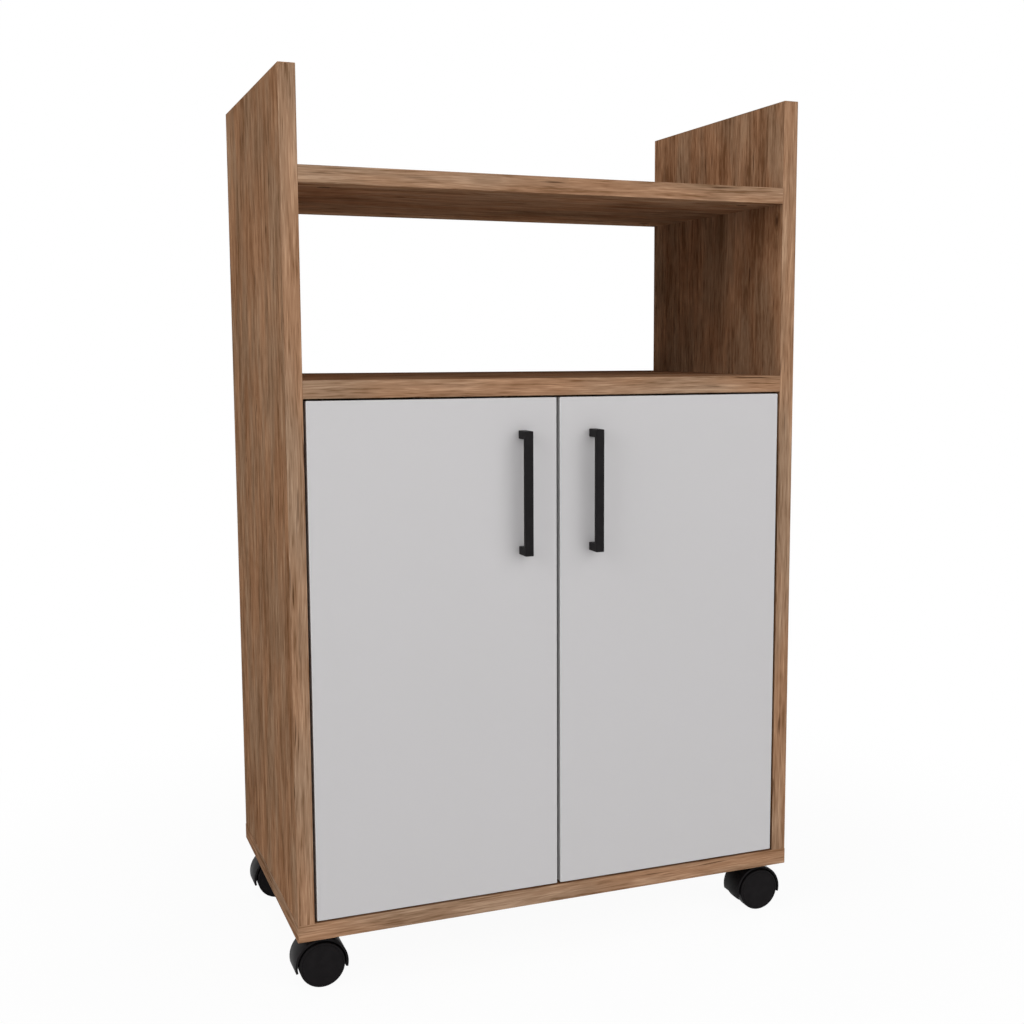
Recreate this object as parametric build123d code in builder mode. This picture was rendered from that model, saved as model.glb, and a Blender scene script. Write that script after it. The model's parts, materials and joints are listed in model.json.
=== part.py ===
from build123d import *
from math import hypot
import os

os.makedirs("parts", exist_ok=True)

# Rolling storage cabinet: a sided tray on top, an open bay, and a compartment with two inset doors.
# Millimetres. X runs left to right, Y from front to back and Z up from the floor.
# The origin is on the floor, under the middle of the object's whole width and depth.

# Carcass boards
carcass_width = 600.0
carcass_depth = 344.0
side_rise = 99.0  # side panels above the tray's top
side_thickness = 18.0
deck_thickness = 19.0  # bottom and middle panels
tray_thickness = 18.0
door_opening_height = 562.0
bay_height = 199.0
bottom_overhang = 0.5  # bottom panel past each side panel
edge_round = 0.6
back_thickness = 3.0
back_inset = 2.0  # back panel's edges inside the carcass outline
shelf_thickness = 18.0
shelf_setback = 26.0  # shelf's front edge behind the doors
shelf_side_gap = 1.0
shelf_back_gap = 1.0

# Hidden connectors
cam_radius = 7.5
cam_floor = 1.0  # cam's inner end past its bolt's bore
cam_reach = 34.0  # from the joint to the middle of the cam
cam_cover_thickness = 1.5
cam_edge_inset = 37.0
cam_slot_width = 1.6
cam_slot_length = 9.0
cam_slot_depth = 2.5
bolt_thread_radius = 2.5
bolt_thread_length = 11.0
bolt_shank_radius = 3.0
bolt_neck_radius = 2.0
bolt_neck_length = 4.0
bolt_head_radius = 3.4
bolt_head_length = 3.0
bolt_bore_radius = 4.0
dowel_radius = 4.0
dowel_in_face = 10.5
dowel_in_end = 19.5
dowel_end_clearance = 0.5
dowel_edge_inset = 101.0

# Shelf pins
pin_peg_radius = 2.5
pin_peg_length = 8.0
pin_hole_depth = 10.0
pin_head_radius = 4.0
pin_head_length = 9.0
pin_flat = 0.5  # taken off the head's top, where the shelf lies
pin_edge_inset = 60.0
pin_pitch = 32.0
pin_rows = 3

# Doors
door_thickness = 18.0
door_side_gap = 2.8
door_middle_gap = 4.0
door_end_gap = 2.2  # above and below
door_edge_round = 0.8

# Handles
handle_width = 9.5
handle_projection = 21.0
handle_bar_thickness = 6.0
handle_leg_height = 9.0
handle_hole_spacing = 128.0
handle_edge_inset = 40.0  # hole from the door's free edge, and from its top edge
handle_round = 0.7
handle_screw_radius = 2.0
handle_screw_grip = 9.0  # length inside the leg
handle_hole_clearance = 0.3

# Concealed hinges
hinge_end_inset = 100.0  # hinge from the door's top and bottom edges
pivot_before_back = 9.0  # pivot in front of the door's back
door_corner_clearance = 0.37  # door's front corner past the side panel as it swings
cup_radius = 17.5
cup_edge_margin = 6.0  # least distance from the cup to the door's hung edge
cup_wall = 0.8
cup_flange_width = 22.0
cup_flange_length = 58.0
cup_flange_thickness = 1.2
cup_screw_spacing = 45.0
hinge_pin_radius = 1.25
hinge_pin_clearance = 0.05
hinge_eye_radius = 2.2
hinge_eye_gap = 0.5  # between the eye and the cup's floor
arm_width = 12.0
arm_thickness = 3.0
arm_bend_radius = 4.0
arm_mouth_inset = 4.5  # arm's middle inside the cup's rim, where it leaves the cup
arm_leave_length = 30.0  # from the pivot to the arm's first bend
arm_turn_inset = 16.0  # from the pivot to the arm's second bend
arm_door_clearance = 2.4  # between the swinging door's edge and the arm
arm_seat_height = 8.5  # arm above the side panel
arm_seat_length = 37.5
mount_block_start = 5.5  # block's front end behind the arm's cross stretch
mount_wing_start = 4.0  # wings' front edge behind the block's front end
mount_wing_width = 20.0
mount_wing_length = 46.0
mount_wing_thickness = 2.0
mount_screw_spacing = 32.0
arm_screw_from_end = 8.0

# Screws
screw_radius = 1.75
screw_head_radius = 3.5
screw_head_height = 1.5
screw_length = 14.0
short_screw_length = 10.0
arm_screw_length = 6.0
screw_recess_width = 0.9
screw_recess_length = 3.6
screw_recess_depth = 0.9
back_screw_columns = 5
back_screw_rows = 5

# Door catches
catch_width = 44.0
catch_depth = 14.0
catch_height = 12.0
catch_from_middle = 78.0
catch_gap = 0.3
strike_width = 46.0
strike_screw_spacing = 36.0
strike_height = 10.0
strike_thickness = 1.2
catch_ear_width = 9.0
catch_ear_height = 3.0

# Castors
castor_neck = 3.8  # between the hood's top and the plate
castor_side_inset = 43.0  # swivel axis from the carcass faces
castor_front_inset = 32.0
castor_back_inset = 47.0
castor_trail = 15.0
castor_plate_size = 38.0
castor_plate_thickness = 2.0
castor_plate_corner = 4.0
castor_screw_spacing = 27.0
swivel_pin_radius = 4.0
swivel_pin_length = 19.0
swivel_clearance = 0.05
swivel_face_gap = 0.3
swivel_boss_radius = 6.0
swivel_boss_length = 23.0
swivel_collar_radius = 9.0
swivel_collar_length = 2.6
wheel_radius = 25.0
wheel_width = 12.7
wheel_boss_clearance = 0.8  # between each wheel and the swivel boss
wheel_round = 1.0
wheel_hub_radius = 6.0
wheel_rim_thickness = 3.5
wheel_recess_depth = 8.0
wheel_cap_thickness = 2.0
axle_radius = 2.5
axle_clearance = 0.05
axle_end_gap = 0.4
axle_boss_radius = 6.0
axle_boss_gap = 0.5  # between the fork's boss and each wheel
hood_gap = 1.8  # between the wheel's tread and the hood
hood_thickness = 2.4
hood_rim_inset = 2.0  # hood's edges inside the wheels' outer faces
hood_dip = 13.0  # degrees below the axle where the hood ends
web_thickness = 5.0
web_drop = 5.0  # web's lower edge below the axle

# Castor sizes that follow
hood_inner_radius = wheel_radius + hood_gap
hood_radius = hood_inner_radius + hood_thickness
wheel_inner_face = swivel_boss_radius + wheel_boss_clearance
wheel_outer_face = wheel_inner_face + wheel_width
hood_half = wheel_outer_face - hood_rim_inset
axle_half = wheel_outer_face - wheel_cap_thickness - axle_end_gap
axle_height = wheel_radius
plate_underside = axle_height + hood_radius + castor_neck
boss_top = plate_underside - swivel_face_gap

# Heights
bottom_underside = plate_underside + castor_plate_thickness
bottom_top = bottom_underside + deck_thickness
middle_underside = bottom_top + door_opening_height
middle_top = middle_underside + deck_thickness
tray_underside = middle_top + bay_height
tray_top = tray_underside + tray_thickness
side_height = tray_top + side_rise - bottom_top
bottom_axis = bottom_underside + deck_thickness / 2
middle_axis = middle_underside + deck_thickness / 2
tray_axis = tray_underside + tray_thickness / 2
shelf_underside = bottom_top + (door_opening_height - shelf_thickness) / 2

# Plan
total_depth = handle_projection + carcass_depth + back_thickness + screw_head_height
front_y = handle_projection - total_depth / 2
back_y = front_y + carcass_depth
carcass_middle_y = front_y + carcass_depth / 2
inner_width = carcass_width - 2 * side_thickness
inner_half = inner_width / 2
side_middle_x = inner_half + side_thickness / 2
door_back_y = front_y + door_thickness
door_bottom = bottom_top + door_end_gap
door_top = middle_underside - door_end_gap
door_height = door_top - door_bottom
door_width = inner_half - door_side_gap - door_middle_gap / 2

# Hinge geometry. The door turns on one fixed pivot, so its front corner sweeps a circle that has to
# clear the side panel: the pivot stands as far from the hung edge as that needs.
hinge_heights = {"upper": door_top - hinge_end_inset, "lower": door_bottom + hinge_end_inset}
pivot_behind = door_thickness - pivot_before_back
corner_slack = door_side_gap - door_corner_clearance
swing_inset = (pivot_behind**2 - corner_slack**2) / (2 * corner_slack)
pivot_inset = max(swing_inset, cup_radius + cup_edge_margin)
pivot_inward = door_side_gap + pivot_inset
cup_depth = pivot_before_back + hinge_eye_radius + hinge_eye_gap + cup_wall
edge_sweep = hypot(pivot_inset, max(pivot_behind, pivot_before_back))
arm_cross_behind = pivot_behind + edge_sweep + arm_door_clearance + arm_thickness / 2
mount_front_behind = arm_cross_behind + mount_block_start
arm_end_behind = arm_cross_behind + arm_seat_length
wing_middle_behind = mount_front_behind + mount_wing_start + mount_wing_width / 2
arm_screw_behind = arm_end_behind - arm_screw_from_end

SIDES = {"left": -1, "right": 1}
ON_PLANE = (Align.CENTER, Align.CENTER, Align.MIN)


def plan(side, inward, behind):
    """Plan place of a point inward from a side panel's face and behind the front plane."""
    return side * (inner_half - inward), front_y + behind


def drill(planes, radius, depth):
    """Blind holes that enter along each plane's normal."""
    with Locations(*planes):
        Cylinder(radius, depth, align=ON_PLANE, mode=Mode.SUBTRACT)


def screw(planes, length, shank_radius=screw_radius):
    """Pan-headed screws whose heads sit on each plane, with their shanks behind it."""
    with Locations(*planes):
        Cylinder(screw_head_radius, screw_head_height, align=ON_PLANE)
    with Locations(*[plane.offset(screw_head_height) for plane in planes]):
        Box(screw_recess_length, screw_recess_width, 2 * screw_recess_depth, mode=Mode.SUBTRACT)
        Box(screw_recess_width, screw_recess_length, 2 * screw_recess_depth, mode=Mode.SUBTRACT)
    with Locations(*[-plane for plane in planes]):
        Cylinder(shank_radius, length, align=ON_PLANE)


def write(piece, name):
    """Labels a finished piece and writes its file."""
    piece.part.label = name
    export_step(piece.part, f"parts/{name}.step")


def end_joint(side, y, z):
    """Joint at a side panel's inner face, looking into the board that ends there."""
    return Plane(origin=(side * inner_half, y, z), x_dir=(0, 0, -1), z_dir=(-side, 0, 0))


def foot_joint(side, y):
    """Joint at the bottom panel's top, looking up into a side panel."""
    return Plane(origin=(side * side_middle_x, y, bottom_top), x_dir=(-side, 0, 0), z_dir=(0, 0, 1))


def cam_seat(joint, board_thickness):
    """Plane on the face that a joint's cam is pressed into, looking out of the board."""
    middle = joint.origin + joint.z_dir * cam_reach + joint.x_dir * (board_thickness / 2)
    return Plane(origin=middle, x_dir=joint.z_dir, z_dir=joint.x_dir)


def cam_depth(board_thickness):
    """Depth of a cam's pocket, which passes the bolt's bore in the middle of the board."""
    return board_thickness / 2 + bolt_bore_radius + cam_floor


# Places of the connectors: cams near the front and back edges, dowels further in
cam_lines = [front_y + cam_edge_inset, back_y - cam_edge_inset]
dowel_lines = [front_y + dowel_edge_inset, back_y - dowel_edge_inset]
middle_cams = {side: [end_joint(side, y, middle_axis) for y in cam_lines] for side in SIDES.values()}
middle_dowels = {side: [end_joint(side, y, middle_axis) for y in dowel_lines] for side in SIDES.values()}
tray_cams = {side: [end_joint(side, y, tray_axis) for y in cam_lines] for side in SIDES.values()}
tray_dowels = {side: [end_joint(side, y, tray_axis) for y in dowel_lines] for side in SIDES.values()}
foot_cams = {side: [foot_joint(side, y) for y in cam_lines] for side in SIDES.values()}
foot_dowels = {side: [foot_joint(side, y) for y in dowel_lines] for side in SIDES.values()}


def both(joints):
    """A joint list's planes on both sides together."""
    return joints[-1] + joints[1]


def mount_screw_planes(side, surface):
    """Planes of one side's hinge plate screws, on a surface so far inward from the side panel."""
    planes = []
    for height in hinge_heights.values():
        for step in (-0.5, 0.5):
            x, y = plan(side, surface, wing_middle_behind)
            z = height + step * mount_screw_spacing
            planes.append(Plane(origin=(x, y, z), x_dir=(0, 1, 0), z_dir=(-side, 0, 0)))
    return planes


# Shelf pins: three rows of holes, with the pins in the middle row
shelf_front_y = door_back_y + shelf_setback
shelf_back_y = back_y - shelf_back_gap
shelf_depth = shelf_back_y - shelf_front_y
pin_lines = [shelf_front_y + pin_edge_inset, shelf_back_y - pin_edge_inset]
pin_height = shelf_underside - pin_head_radius + pin_flat


def pin_planes(side, rows):
    """Planes of one side's shelf pins in the given rows, looking into the cabinet."""
    planes = []
    for y in pin_lines:
        for row in rows:
            z = pin_height + row * pin_pitch
            planes.append(Plane(origin=(side * inner_half, y, z), x_dir=(0, 1, 0), z_dir=(-side, 0, 0)))
    return planes


# Screws of the back panel, along the middle of the boards that it covers
back_width = carcass_width - 2 * back_inset
back_bottom = bottom_underside + back_inset
back_top = middle_top - back_inset
back_height = back_top - back_bottom
back_face_y = back_y + back_thickness
column_step = 2 * side_middle_x / (back_screw_columns - 1)
row_step = (middle_axis - bottom_axis) / (back_screw_rows - 1)
back_screw_places = []
for column in range(back_screw_columns):
    for row in range(back_screw_rows):
        if column in (0, back_screw_columns - 1) or row in (0, back_screw_rows - 1):
            x = column * column_step - side_middle_x
            z = bottom_axis + row * row_step
            back_screw_places.append((x, z))


def back_screw_planes(y):
    """Planes of the back panel's screws at one depth, looking out of the cabinet's back."""
    return [Plane(origin=(x, y, z), x_dir=(1, 0, 0), z_dir=(0, 1, 0)) for x, z in back_screw_places]


# Door catches under the middle panel, one behind each door's free top corner
catch_front_y = door_back_y + strike_thickness + catch_gap


def catch_screw_planes(side, z):
    """Planes of one catch's screws at one height, looking down."""
    planes = []
    for step in (-1, 1):
        x = side * catch_from_middle + step * (catch_width - catch_ear_width) / 2
        planes.append(Plane(origin=(x, catch_front_y + catch_depth / 2, z), z_dir=(0, 0, -1)))
    return planes


# Castor places
castor_x = carcass_width / 2 - castor_side_inset
castor_lines = {"front": front_y + castor_front_inset, "rear": back_y - castor_back_inset}


def castor_screw_planes(side, y, z):
    """Planes of one castor's screws at one height, looking down."""
    half = castor_screw_spacing / 2
    planes = []
    for dx in (-half, half):
        for dy in (-half, half):
            planes.append(Plane(origin=(side * castor_x + dx, y + dy, z), z_dir=(0, 0, -1)))
    return planes


# Bottom panel
with BuildPart() as bottom_panel:
    with BuildSketch(Plane.XY.offset(bottom_underside)):
        with Locations((0, carcass_middle_y)):
            Rectangle(carcass_width + 2 * bottom_overhang, carcass_depth)
    extrude(amount=deck_thickness)
    fillet(bottom_panel.edges(), edge_round)
    drill([-joint for joint in both(foot_cams)], bolt_thread_radius, bolt_thread_length)
    drill([-joint for joint in both(foot_dowels)], dowel_radius, dowel_in_face + dowel_end_clearance)
    drill([-plane for plane in back_screw_planes(back_y) if plane.origin.Z < bottom_top],
          screw_radius, screw_length - back_thickness)
    for side in SIDES.values():
        for y in castor_lines.values():
            drill([-plane for plane in castor_screw_planes(side, y, bottom_underside)],
                  screw_radius, screw_length - castor_plate_thickness)
write(bottom_panel, "bottom_panel")

# Side panels, which stand on the bottom panel
for name, side in SIDES.items():
    with BuildPart() as side_panel:
        with BuildSketch(Plane.XY.offset(bottom_top)):
            with Locations((side * side_middle_x, carcass_middle_y)):
                Rectangle(side_thickness, carcass_depth)
        extrude(amount=side_height)
        top_face = side_panel.faces().sort_by(Axis.Z)[-1]
        fillet(side_panel.edges().filter_by(Axis.Z) + top_face.edges(), edge_round)
        for joints in (middle_cams, tray_cams):
            drill([-joint for joint in joints[side]], bolt_thread_radius, bolt_thread_length)
        for joints in (middle_dowels, tray_dowels):
            drill([-joint for joint in joints[side]], dowel_radius, dowel_in_face + dowel_end_clearance)
        drill(foot_cams[side], bolt_bore_radius, cam_reach)
        drill([-cam_seat(joint, side_thickness) for joint in foot_cams[side]],
              cam_radius, cam_depth(side_thickness))
        drill(foot_dowels[side], dowel_radius, dowel_in_end + dowel_end_clearance)
        middle_row = (pin_rows - 1) // 2
        pin_steps = [row - middle_row for row in range(pin_rows)]
        drill([-plane for plane in pin_planes(side, pin_steps)], pin_peg_radius, pin_hole_depth)
        drill([-plane for plane in mount_screw_planes(side, 0)],
              screw_radius, screw_length - mount_wing_thickness)
        own_screws = [
            plane for plane in back_screw_planes(back_y)
            if plane.origin.X * side > inner_half and plane.origin.Z > bottom_top
        ]
        drill([-plane for plane in own_screws], screw_radius, screw_length - back_thickness)
    write(side_panel, f"{name}_side_panel")


def deck_board(name, underside, thickness, cams, dowels):
    """Board between the side panels, held by cams and dowels at both ends."""
    with BuildPart() as board:
        with BuildSketch(Plane.XY.offset(underside)):
            with Locations((0, carcass_middle_y)):
                Rectangle(inner_width, carcass_depth)
        extrude(amount=thickness)
        fillet(board.edges().filter_by(Axis.X), edge_round)
        drill(both(cams), bolt_bore_radius, cam_reach)
        drill([-cam_seat(joint, thickness) for joint in both(cams)], cam_radius, cam_depth(thickness))
        drill(both(dowels), dowel_radius, dowel_in_end + dowel_end_clearance)
        if name == "middle_panel":
            inner_screws = [
                plane for plane in back_screw_planes(back_y)
                if abs(plane.origin.X) < inner_half and plane.origin.Z > underside
            ]
            drill([-plane for plane in inner_screws], screw_radius, screw_length - back_thickness)
            for side in SIDES.values():
                drill([-plane for plane in catch_screw_planes(side, underside)],
                      screw_radius, short_screw_length - catch_ear_height)
    write(board, name)


deck_board("middle_panel", middle_underside, deck_thickness, middle_cams, middle_dowels)
deck_board("tray_panel", tray_underside, tray_thickness, tray_cams, tray_dowels)

# Back panel of the door compartment
with BuildPart() as back_panel:
    with BuildSketch(Plane(origin=(0, back_y, 0), x_dir=(1, 0, 0), z_dir=(0, -1, 0))):
        with Locations((0, back_bottom + back_height / 2)):
            Rectangle(back_width, back_height)
    extrude(amount=-back_thickness)
    drill([-plane for plane in back_screw_planes(back_face_y)], screw_radius, back_thickness)
write(back_panel, "back_panel")

# Loose shelf on its four pins
with BuildPart() as inner_shelf:
    with BuildSketch(Plane.XY.offset(shelf_underside)):
        with Locations((0, shelf_front_y + shelf_depth / 2)):
            Rectangle(inner_width - 2 * shelf_side_gap, shelf_depth)
    extrude(amount=shelf_thickness)
    fillet(inner_shelf.edges(), edge_round)
write(inner_shelf, "inner_shelf")

with BuildPart() as shelf_pins:
    for side in SIDES.values():
        with Locations(*[-plane for plane in pin_planes(side, [0])]):
            Cylinder(pin_peg_radius, pin_peg_length, align=ON_PLANE)
        with Locations(*pin_planes(side, [0])):
            Cylinder(pin_head_radius, pin_head_length, align=ON_PLANE)
    split(bisect_by=Plane.XY.offset(shelf_underside), keep=Keep.BOTTOM)
write(shelf_pins, "shelf_pins")

# Dowels, half in each board
all_dowels = both(middle_dowels) + both(tray_dowels) + both(foot_dowels)
with BuildPart() as dowels:
    with Locations(*[joint.offset(-dowel_in_face) for joint in all_dowels]):
        Cylinder(dowel_radius, dowel_in_face + dowel_in_end, align=ON_PLANE)
write(dowels, "dowels")

# Cam bolts: a thread in one board, and a head that the cam in the other board draws in
all_cams = both(middle_cams) + both(tray_cams) + both(foot_cams)
bolt_shank_length = cam_reach - bolt_neck_length
with BuildPart() as cam_bolts:
    with Locations(*[joint.offset(-bolt_thread_length) for joint in all_cams]):
        Cylinder(bolt_thread_radius, bolt_thread_length, align=ON_PLANE)
    with Locations(*all_cams):
        Cylinder(bolt_shank_radius, bolt_shank_length, align=ON_PLANE)
    with Locations(*[joint.offset(bolt_shank_length) for joint in all_cams]):
        Cylinder(bolt_neck_radius, bolt_neck_length, align=ON_PLANE)
    with Locations(*[joint.offset(cam_reach) for joint in all_cams]):
        Cylinder(bolt_head_radius, bolt_head_length, align=ON_PLANE)
write(cam_bolts, "cam_bolts")

# Cams under their covers
cam_groups = [(middle_cams, deck_thickness), (tray_cams, tray_thickness), (foot_cams, side_thickness)]
cover_seats = []
with BuildPart() as cam_locks:
    for joints, thickness in cam_groups:
        seats = [cam_seat(joint, thickness) for joint in both(joints)]
        with Locations(*[seat.offset(-cam_depth(thickness)) for seat in seats]):
            Cylinder(cam_radius, cam_depth(thickness) - cam_cover_thickness, align=ON_PLANE)
        cover_seats += [seat.offset(-cam_cover_thickness) for seat in seats]
    with Locations(*cover_seats):
        Box(cam_slot_length, cam_slot_width, 2 * cam_slot_depth, mode=Mode.SUBTRACT)
        Box(cam_slot_width, cam_slot_length, 2 * cam_slot_depth, mode=Mode.SUBTRACT)
    drill(all_cams, bolt_bore_radius, cam_reach + bolt_head_length)
write(cam_locks, "cam_locks")

with BuildPart() as cam_covers:
    with Locations(*cover_seats):
        Cylinder(cam_radius, cam_cover_thickness, align=ON_PLANE)
write(cam_covers, "cam_covers")

# Screws of the back panel and of the catches
catch_ear_z = middle_underside - catch_ear_height
catch_plane = Plane(origin=(0, 0, middle_underside), x_dir=(1, 0, 0), z_dir=(0, 0, -1))
with BuildPart() as panel_screws:
    screw(back_screw_planes(back_face_y), screw_length)
    for side in SIDES.values():
        screw(catch_screw_planes(side, catch_ear_z), short_screw_length)
write(panel_screws, "panel_screws")

# Magnetic catches: a body with an ear on each side
with BuildPart() as magnetic_catches:
    for side in SIDES.values():
        catch_middle = (side * catch_from_middle, -catch_front_y - catch_depth / 2)
        with BuildSketch(catch_plane):
            with Locations(catch_middle):
                Rectangle(catch_width, catch_depth)
        extrude(amount=catch_ear_height)
        with BuildSketch(catch_plane):
            with Locations(catch_middle):
                Rectangle(catch_width - 2 * catch_ear_width, catch_depth)
        extrude(amount=catch_height)
        drill(catch_screw_planes(side, middle_underside), screw_radius, catch_ear_height)
write(magnetic_catches, "magnetic_catches")


# Hinges on the carcass
def hinge_plan(side, inward, behind, z):
    """Point of a hinge, by its plan place and height."""
    x, y = plan(side, inward, behind)
    return x, y, z


def hinge_seat(side, inward, behind, z):
    """Plane parallel to a side panel's face, looking into the cabinet."""
    return Plane(origin=hinge_plan(side, inward, behind, z), x_dir=(0, 1, 0), z_dir=(-side, 0, 0))


def arm_screw_planes(side):
    """Planes of one side's arm screws, on top of the arms."""
    return [hinge_seat(side, arm_seat_height + arm_thickness, arm_screw_behind, height)
            for height in hinge_heights.values()]


# Mounting plates: a block that carries the arm, between two screwed wings
block_length = arm_end_behind - mount_front_behind
with BuildPart() as hinge_mounting_plates:
    for side in SIDES.values():
        with Locations(*[hinge_seat(side, 0, wing_middle_behind, z) for z in hinge_heights.values()]):
            Box(mount_wing_width, mount_wing_length, mount_wing_thickness, align=ON_PLANE)
        block_middle = mount_front_behind + block_length / 2
        with Locations(*[hinge_seat(side, 0, block_middle, z) for z in hinge_heights.values()]):
            Box(block_length, arm_width, arm_seat_height, align=ON_PLANE)
        drill(mount_screw_planes(side, 0), screw_radius, mount_wing_thickness)
        drill([-plane for plane in arm_screw_planes(side)], screw_radius, arm_screw_length)
write(hinge_mounting_plates, "hinge_mounting_plates")

# Swan-necked arms, from the mounting plate round the door's hung edge to the pivot in the cup
mouth_step = cup_radius - cup_wall - arm_mouth_inset
mouth_rise = pivot_before_back + cup_flange_thickness
leave_share = arm_leave_length / hypot(mouth_step, mouth_rise)
arm_middle = arm_seat_height + arm_thickness / 2
arm_route = [
    (pivot_inward, pivot_behind),
    (pivot_inward + mouth_step * leave_share, pivot_behind + mouth_rise * leave_share),
    (pivot_inward + arm_turn_inset, arm_cross_behind),
    (arm_middle, arm_cross_behind),
    (arm_middle, arm_end_behind),
]
for name, side in SIDES.items():
    for place, height in hinge_heights.items():
        points = [hinge_plan(side, x, y, height) for x, y in arm_route]
        with BuildPart() as hinge_arm:
            with BuildLine() as neck:
                FilletPolyline(*points, radius=arm_bend_radius)
            with BuildSketch(Plane(origin=neck.line @ 0, x_dir=(0, 0, 1), z_dir=neck.line % 0)):
                Rectangle(arm_width, arm_thickness)
            sweep()
            with Locations(Plane(origin=points[0], z_dir=(0, 0, 1))):
                Cylinder(hinge_eye_radius, arm_width)
                Cylinder(hinge_pin_radius + hinge_pin_clearance, arm_width, mode=Mode.SUBTRACT)
            own_screw = [plane for plane in arm_screw_planes(side) if plane.origin.Z == height]
            drill([-plane for plane in own_screw], screw_radius, arm_thickness)
        write(hinge_arm, f"{name}_{place}_hinge_arm")

# Screws of the mounting plates and arms
with BuildPart() as hinge_screws:
    for side in SIDES.values():
        screw(mount_screw_planes(side, mount_wing_thickness), screw_length)
        screw(arm_screw_planes(side), arm_screw_length)
write(hinge_screws, "hinge_screws")

# Doors and all that they carry
handle_top_hole = door_top - handle_edge_inset
handle_heights = [handle_top_hole, handle_top_hole - handle_hole_spacing]
handle_x = door_middle_gap / 2 + handle_edge_inset
handle_length = handle_hole_spacing + handle_leg_height
cup_flange_inward = cup_flange_width / 2 - hinge_pin_radius  # flange's middle past the cup's middle
strike_z = door_top - strike_height / 2 - door_edge_round

for name, side in SIDES.items():
    cup_places = [hinge_plan(side, pivot_inward, door_thickness, height)
                  for height in hinge_heights.values()]
    cup_screw_planes = []
    for x, y, z in cup_places:
        for step in (-0.5, 0.5):
            place = (x - side * cup_flange_inward, y, z + step * cup_screw_spacing)
            cup_screw_planes.append(Plane(origin=place, x_dir=(1, 0, 0), z_dir=(0, 1, 0)))
    strike_middle = Plane(origin=(side * catch_from_middle, door_back_y, strike_z),
                          x_dir=(1, 0, 0), z_dir=(0, 1, 0))
    strike_screw_planes = [
        Plane(origin=strike_middle.origin + strike_middle.x_dir * (step * strike_screw_spacing),
              x_dir=(1, 0, 0), z_dir=(0, 1, 0)) for step in (-0.5, 0.5)
    ]
    handle_planes = [Plane(origin=(side * handle_x, front_y, z), x_dir=(1, 0, 0), z_dir=(0, 1, 0))
                     for z in handle_heights]

    with BuildPart() as door_panel:
        middle_x = side * (door_middle_gap / 2 + door_width / 2)
        with BuildSketch(Plane(origin=(middle_x, front_y, door_bottom), x_dir=(1, 0, 0),
                               z_dir=(0, -1, 0))):
            Rectangle(door_width, door_height, align=(Align.CENTER, Align.MIN))
        extrude(amount=-door_thickness)
        fillet(door_panel.edges(), door_edge_round)
        drill([Plane(origin=place, x_dir=(1, 0, 0), z_dir=(0, -1, 0)) for place in cup_places],
              cup_radius, cup_depth)
        drill([-plane for plane in cup_screw_planes + strike_screw_planes],
              screw_radius, short_screw_length)
        drill(handle_planes, handle_screw_radius + handle_hole_clearance, door_thickness)
    write(door_panel, f"{name}_door_panel")

    # Handle: a square bar on a leg at each end
    with BuildPart() as handle:
        with BuildSketch(Plane(origin=(side * handle_x, front_y, 0), x_dir=(0, -1, 0), z_dir=(1, 0, 0))):
            handle_middle = (handle_heights[0] + handle_heights[1]) / 2
            with Locations((handle_projection / 2, -handle_middle)):
                Rectangle(handle_projection, handle_length)
            with Locations(((handle_projection - handle_bar_thickness) / 2, -handle_middle)):
                Rectangle(handle_projection - handle_bar_thickness,
                          handle_length - 2 * handle_leg_height, mode=Mode.SUBTRACT)
        extrude(amount=handle_width / 2, both=True)
        feet = handle.faces().sort_by(Axis.Y)[-2:]
        foot_edges = feet[0].edges() + feet[1].edges()
        fillet([edge for edge in handle.edges() if edge not in foot_edges], handle_round)
        drill([-plane for plane in handle_planes], handle_screw_radius, handle_screw_grip)
    write(handle, f"{name}_door_handle")

    with BuildPart() as handle_screws:
        screw([plane.offset(door_thickness) for plane in handle_planes],
              door_thickness + handle_screw_grip, handle_screw_radius)
    write(handle_screws, f"{name}_handle_screws")

    # Hinge cups, pressed into the door's back, with a screwed flange
    for place, height in hinge_heights.items():
        mouth = hinge_plan(side, pivot_inward, door_thickness, height)
        with BuildPart() as hinge_cup:
            with Locations(Plane(origin=mouth, z_dir=(0, -1, 0))):
                Cylinder(cup_radius, cup_depth, align=ON_PLANE)
            with BuildSketch(Plane(origin=mouth, x_dir=(-side, 0, 0), z_dir=(0, 1, 0))):
                Circle(cup_radius + cup_wall)
                with Locations((cup_flange_inward, 0)):
                    RectangleRounded(cup_flange_width, cup_flange_length, screw_head_radius)
            extrude(amount=cup_flange_thickness)
            hollow = Plane(origin=mouth, z_dir=(0, -1, 0)).offset(-cup_flange_thickness)
            drill([hollow], cup_radius - cup_wall, cup_flange_thickness + cup_depth - cup_wall)
            with Locations(Plane(origin=hinge_plan(side, pivot_inward, pivot_behind, height))):
                Cylinder(hinge_pin_radius, 2 * cup_radius, mode=Mode.SUBTRACT)
            own_screws = [plane for plane in cup_screw_planes
                          if abs(plane.origin.Z - height) < cup_screw_spacing]
            drill(own_screws, screw_radius, cup_flange_thickness)
        write(hinge_cup, f"{name}_{place}_hinge_cup")

    with BuildPart() as hinge_pins:
        for height in hinge_heights.values():
            with Locations(Plane(origin=hinge_plan(side, pivot_inward, pivot_behind, height))):
                Cylinder(hinge_pin_radius, 2 * (cup_radius - cup_wall / 2))
    write(hinge_pins, f"{name}_hinge_pins")

    # Strike plate that meets the catch
    with BuildPart() as strike_plate:
        with BuildSketch(strike_middle):
            RectangleRounded(strike_width, strike_height, edge_round)
        extrude(amount=strike_thickness)
        drill(strike_screw_planes, screw_radius, strike_thickness)
    write(strike_plate, f"{name}_strike_plate")

    # Screws of the cups and the strike plate
    with BuildPart() as door_screws:
        screw([plane.offset(cup_flange_thickness) for plane in cup_screw_planes], short_screw_length)
        screw([plane.offset(strike_thickness) for plane in strike_screw_planes], short_screw_length)
    write(door_screws, f"{name}_door_screws")

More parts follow.
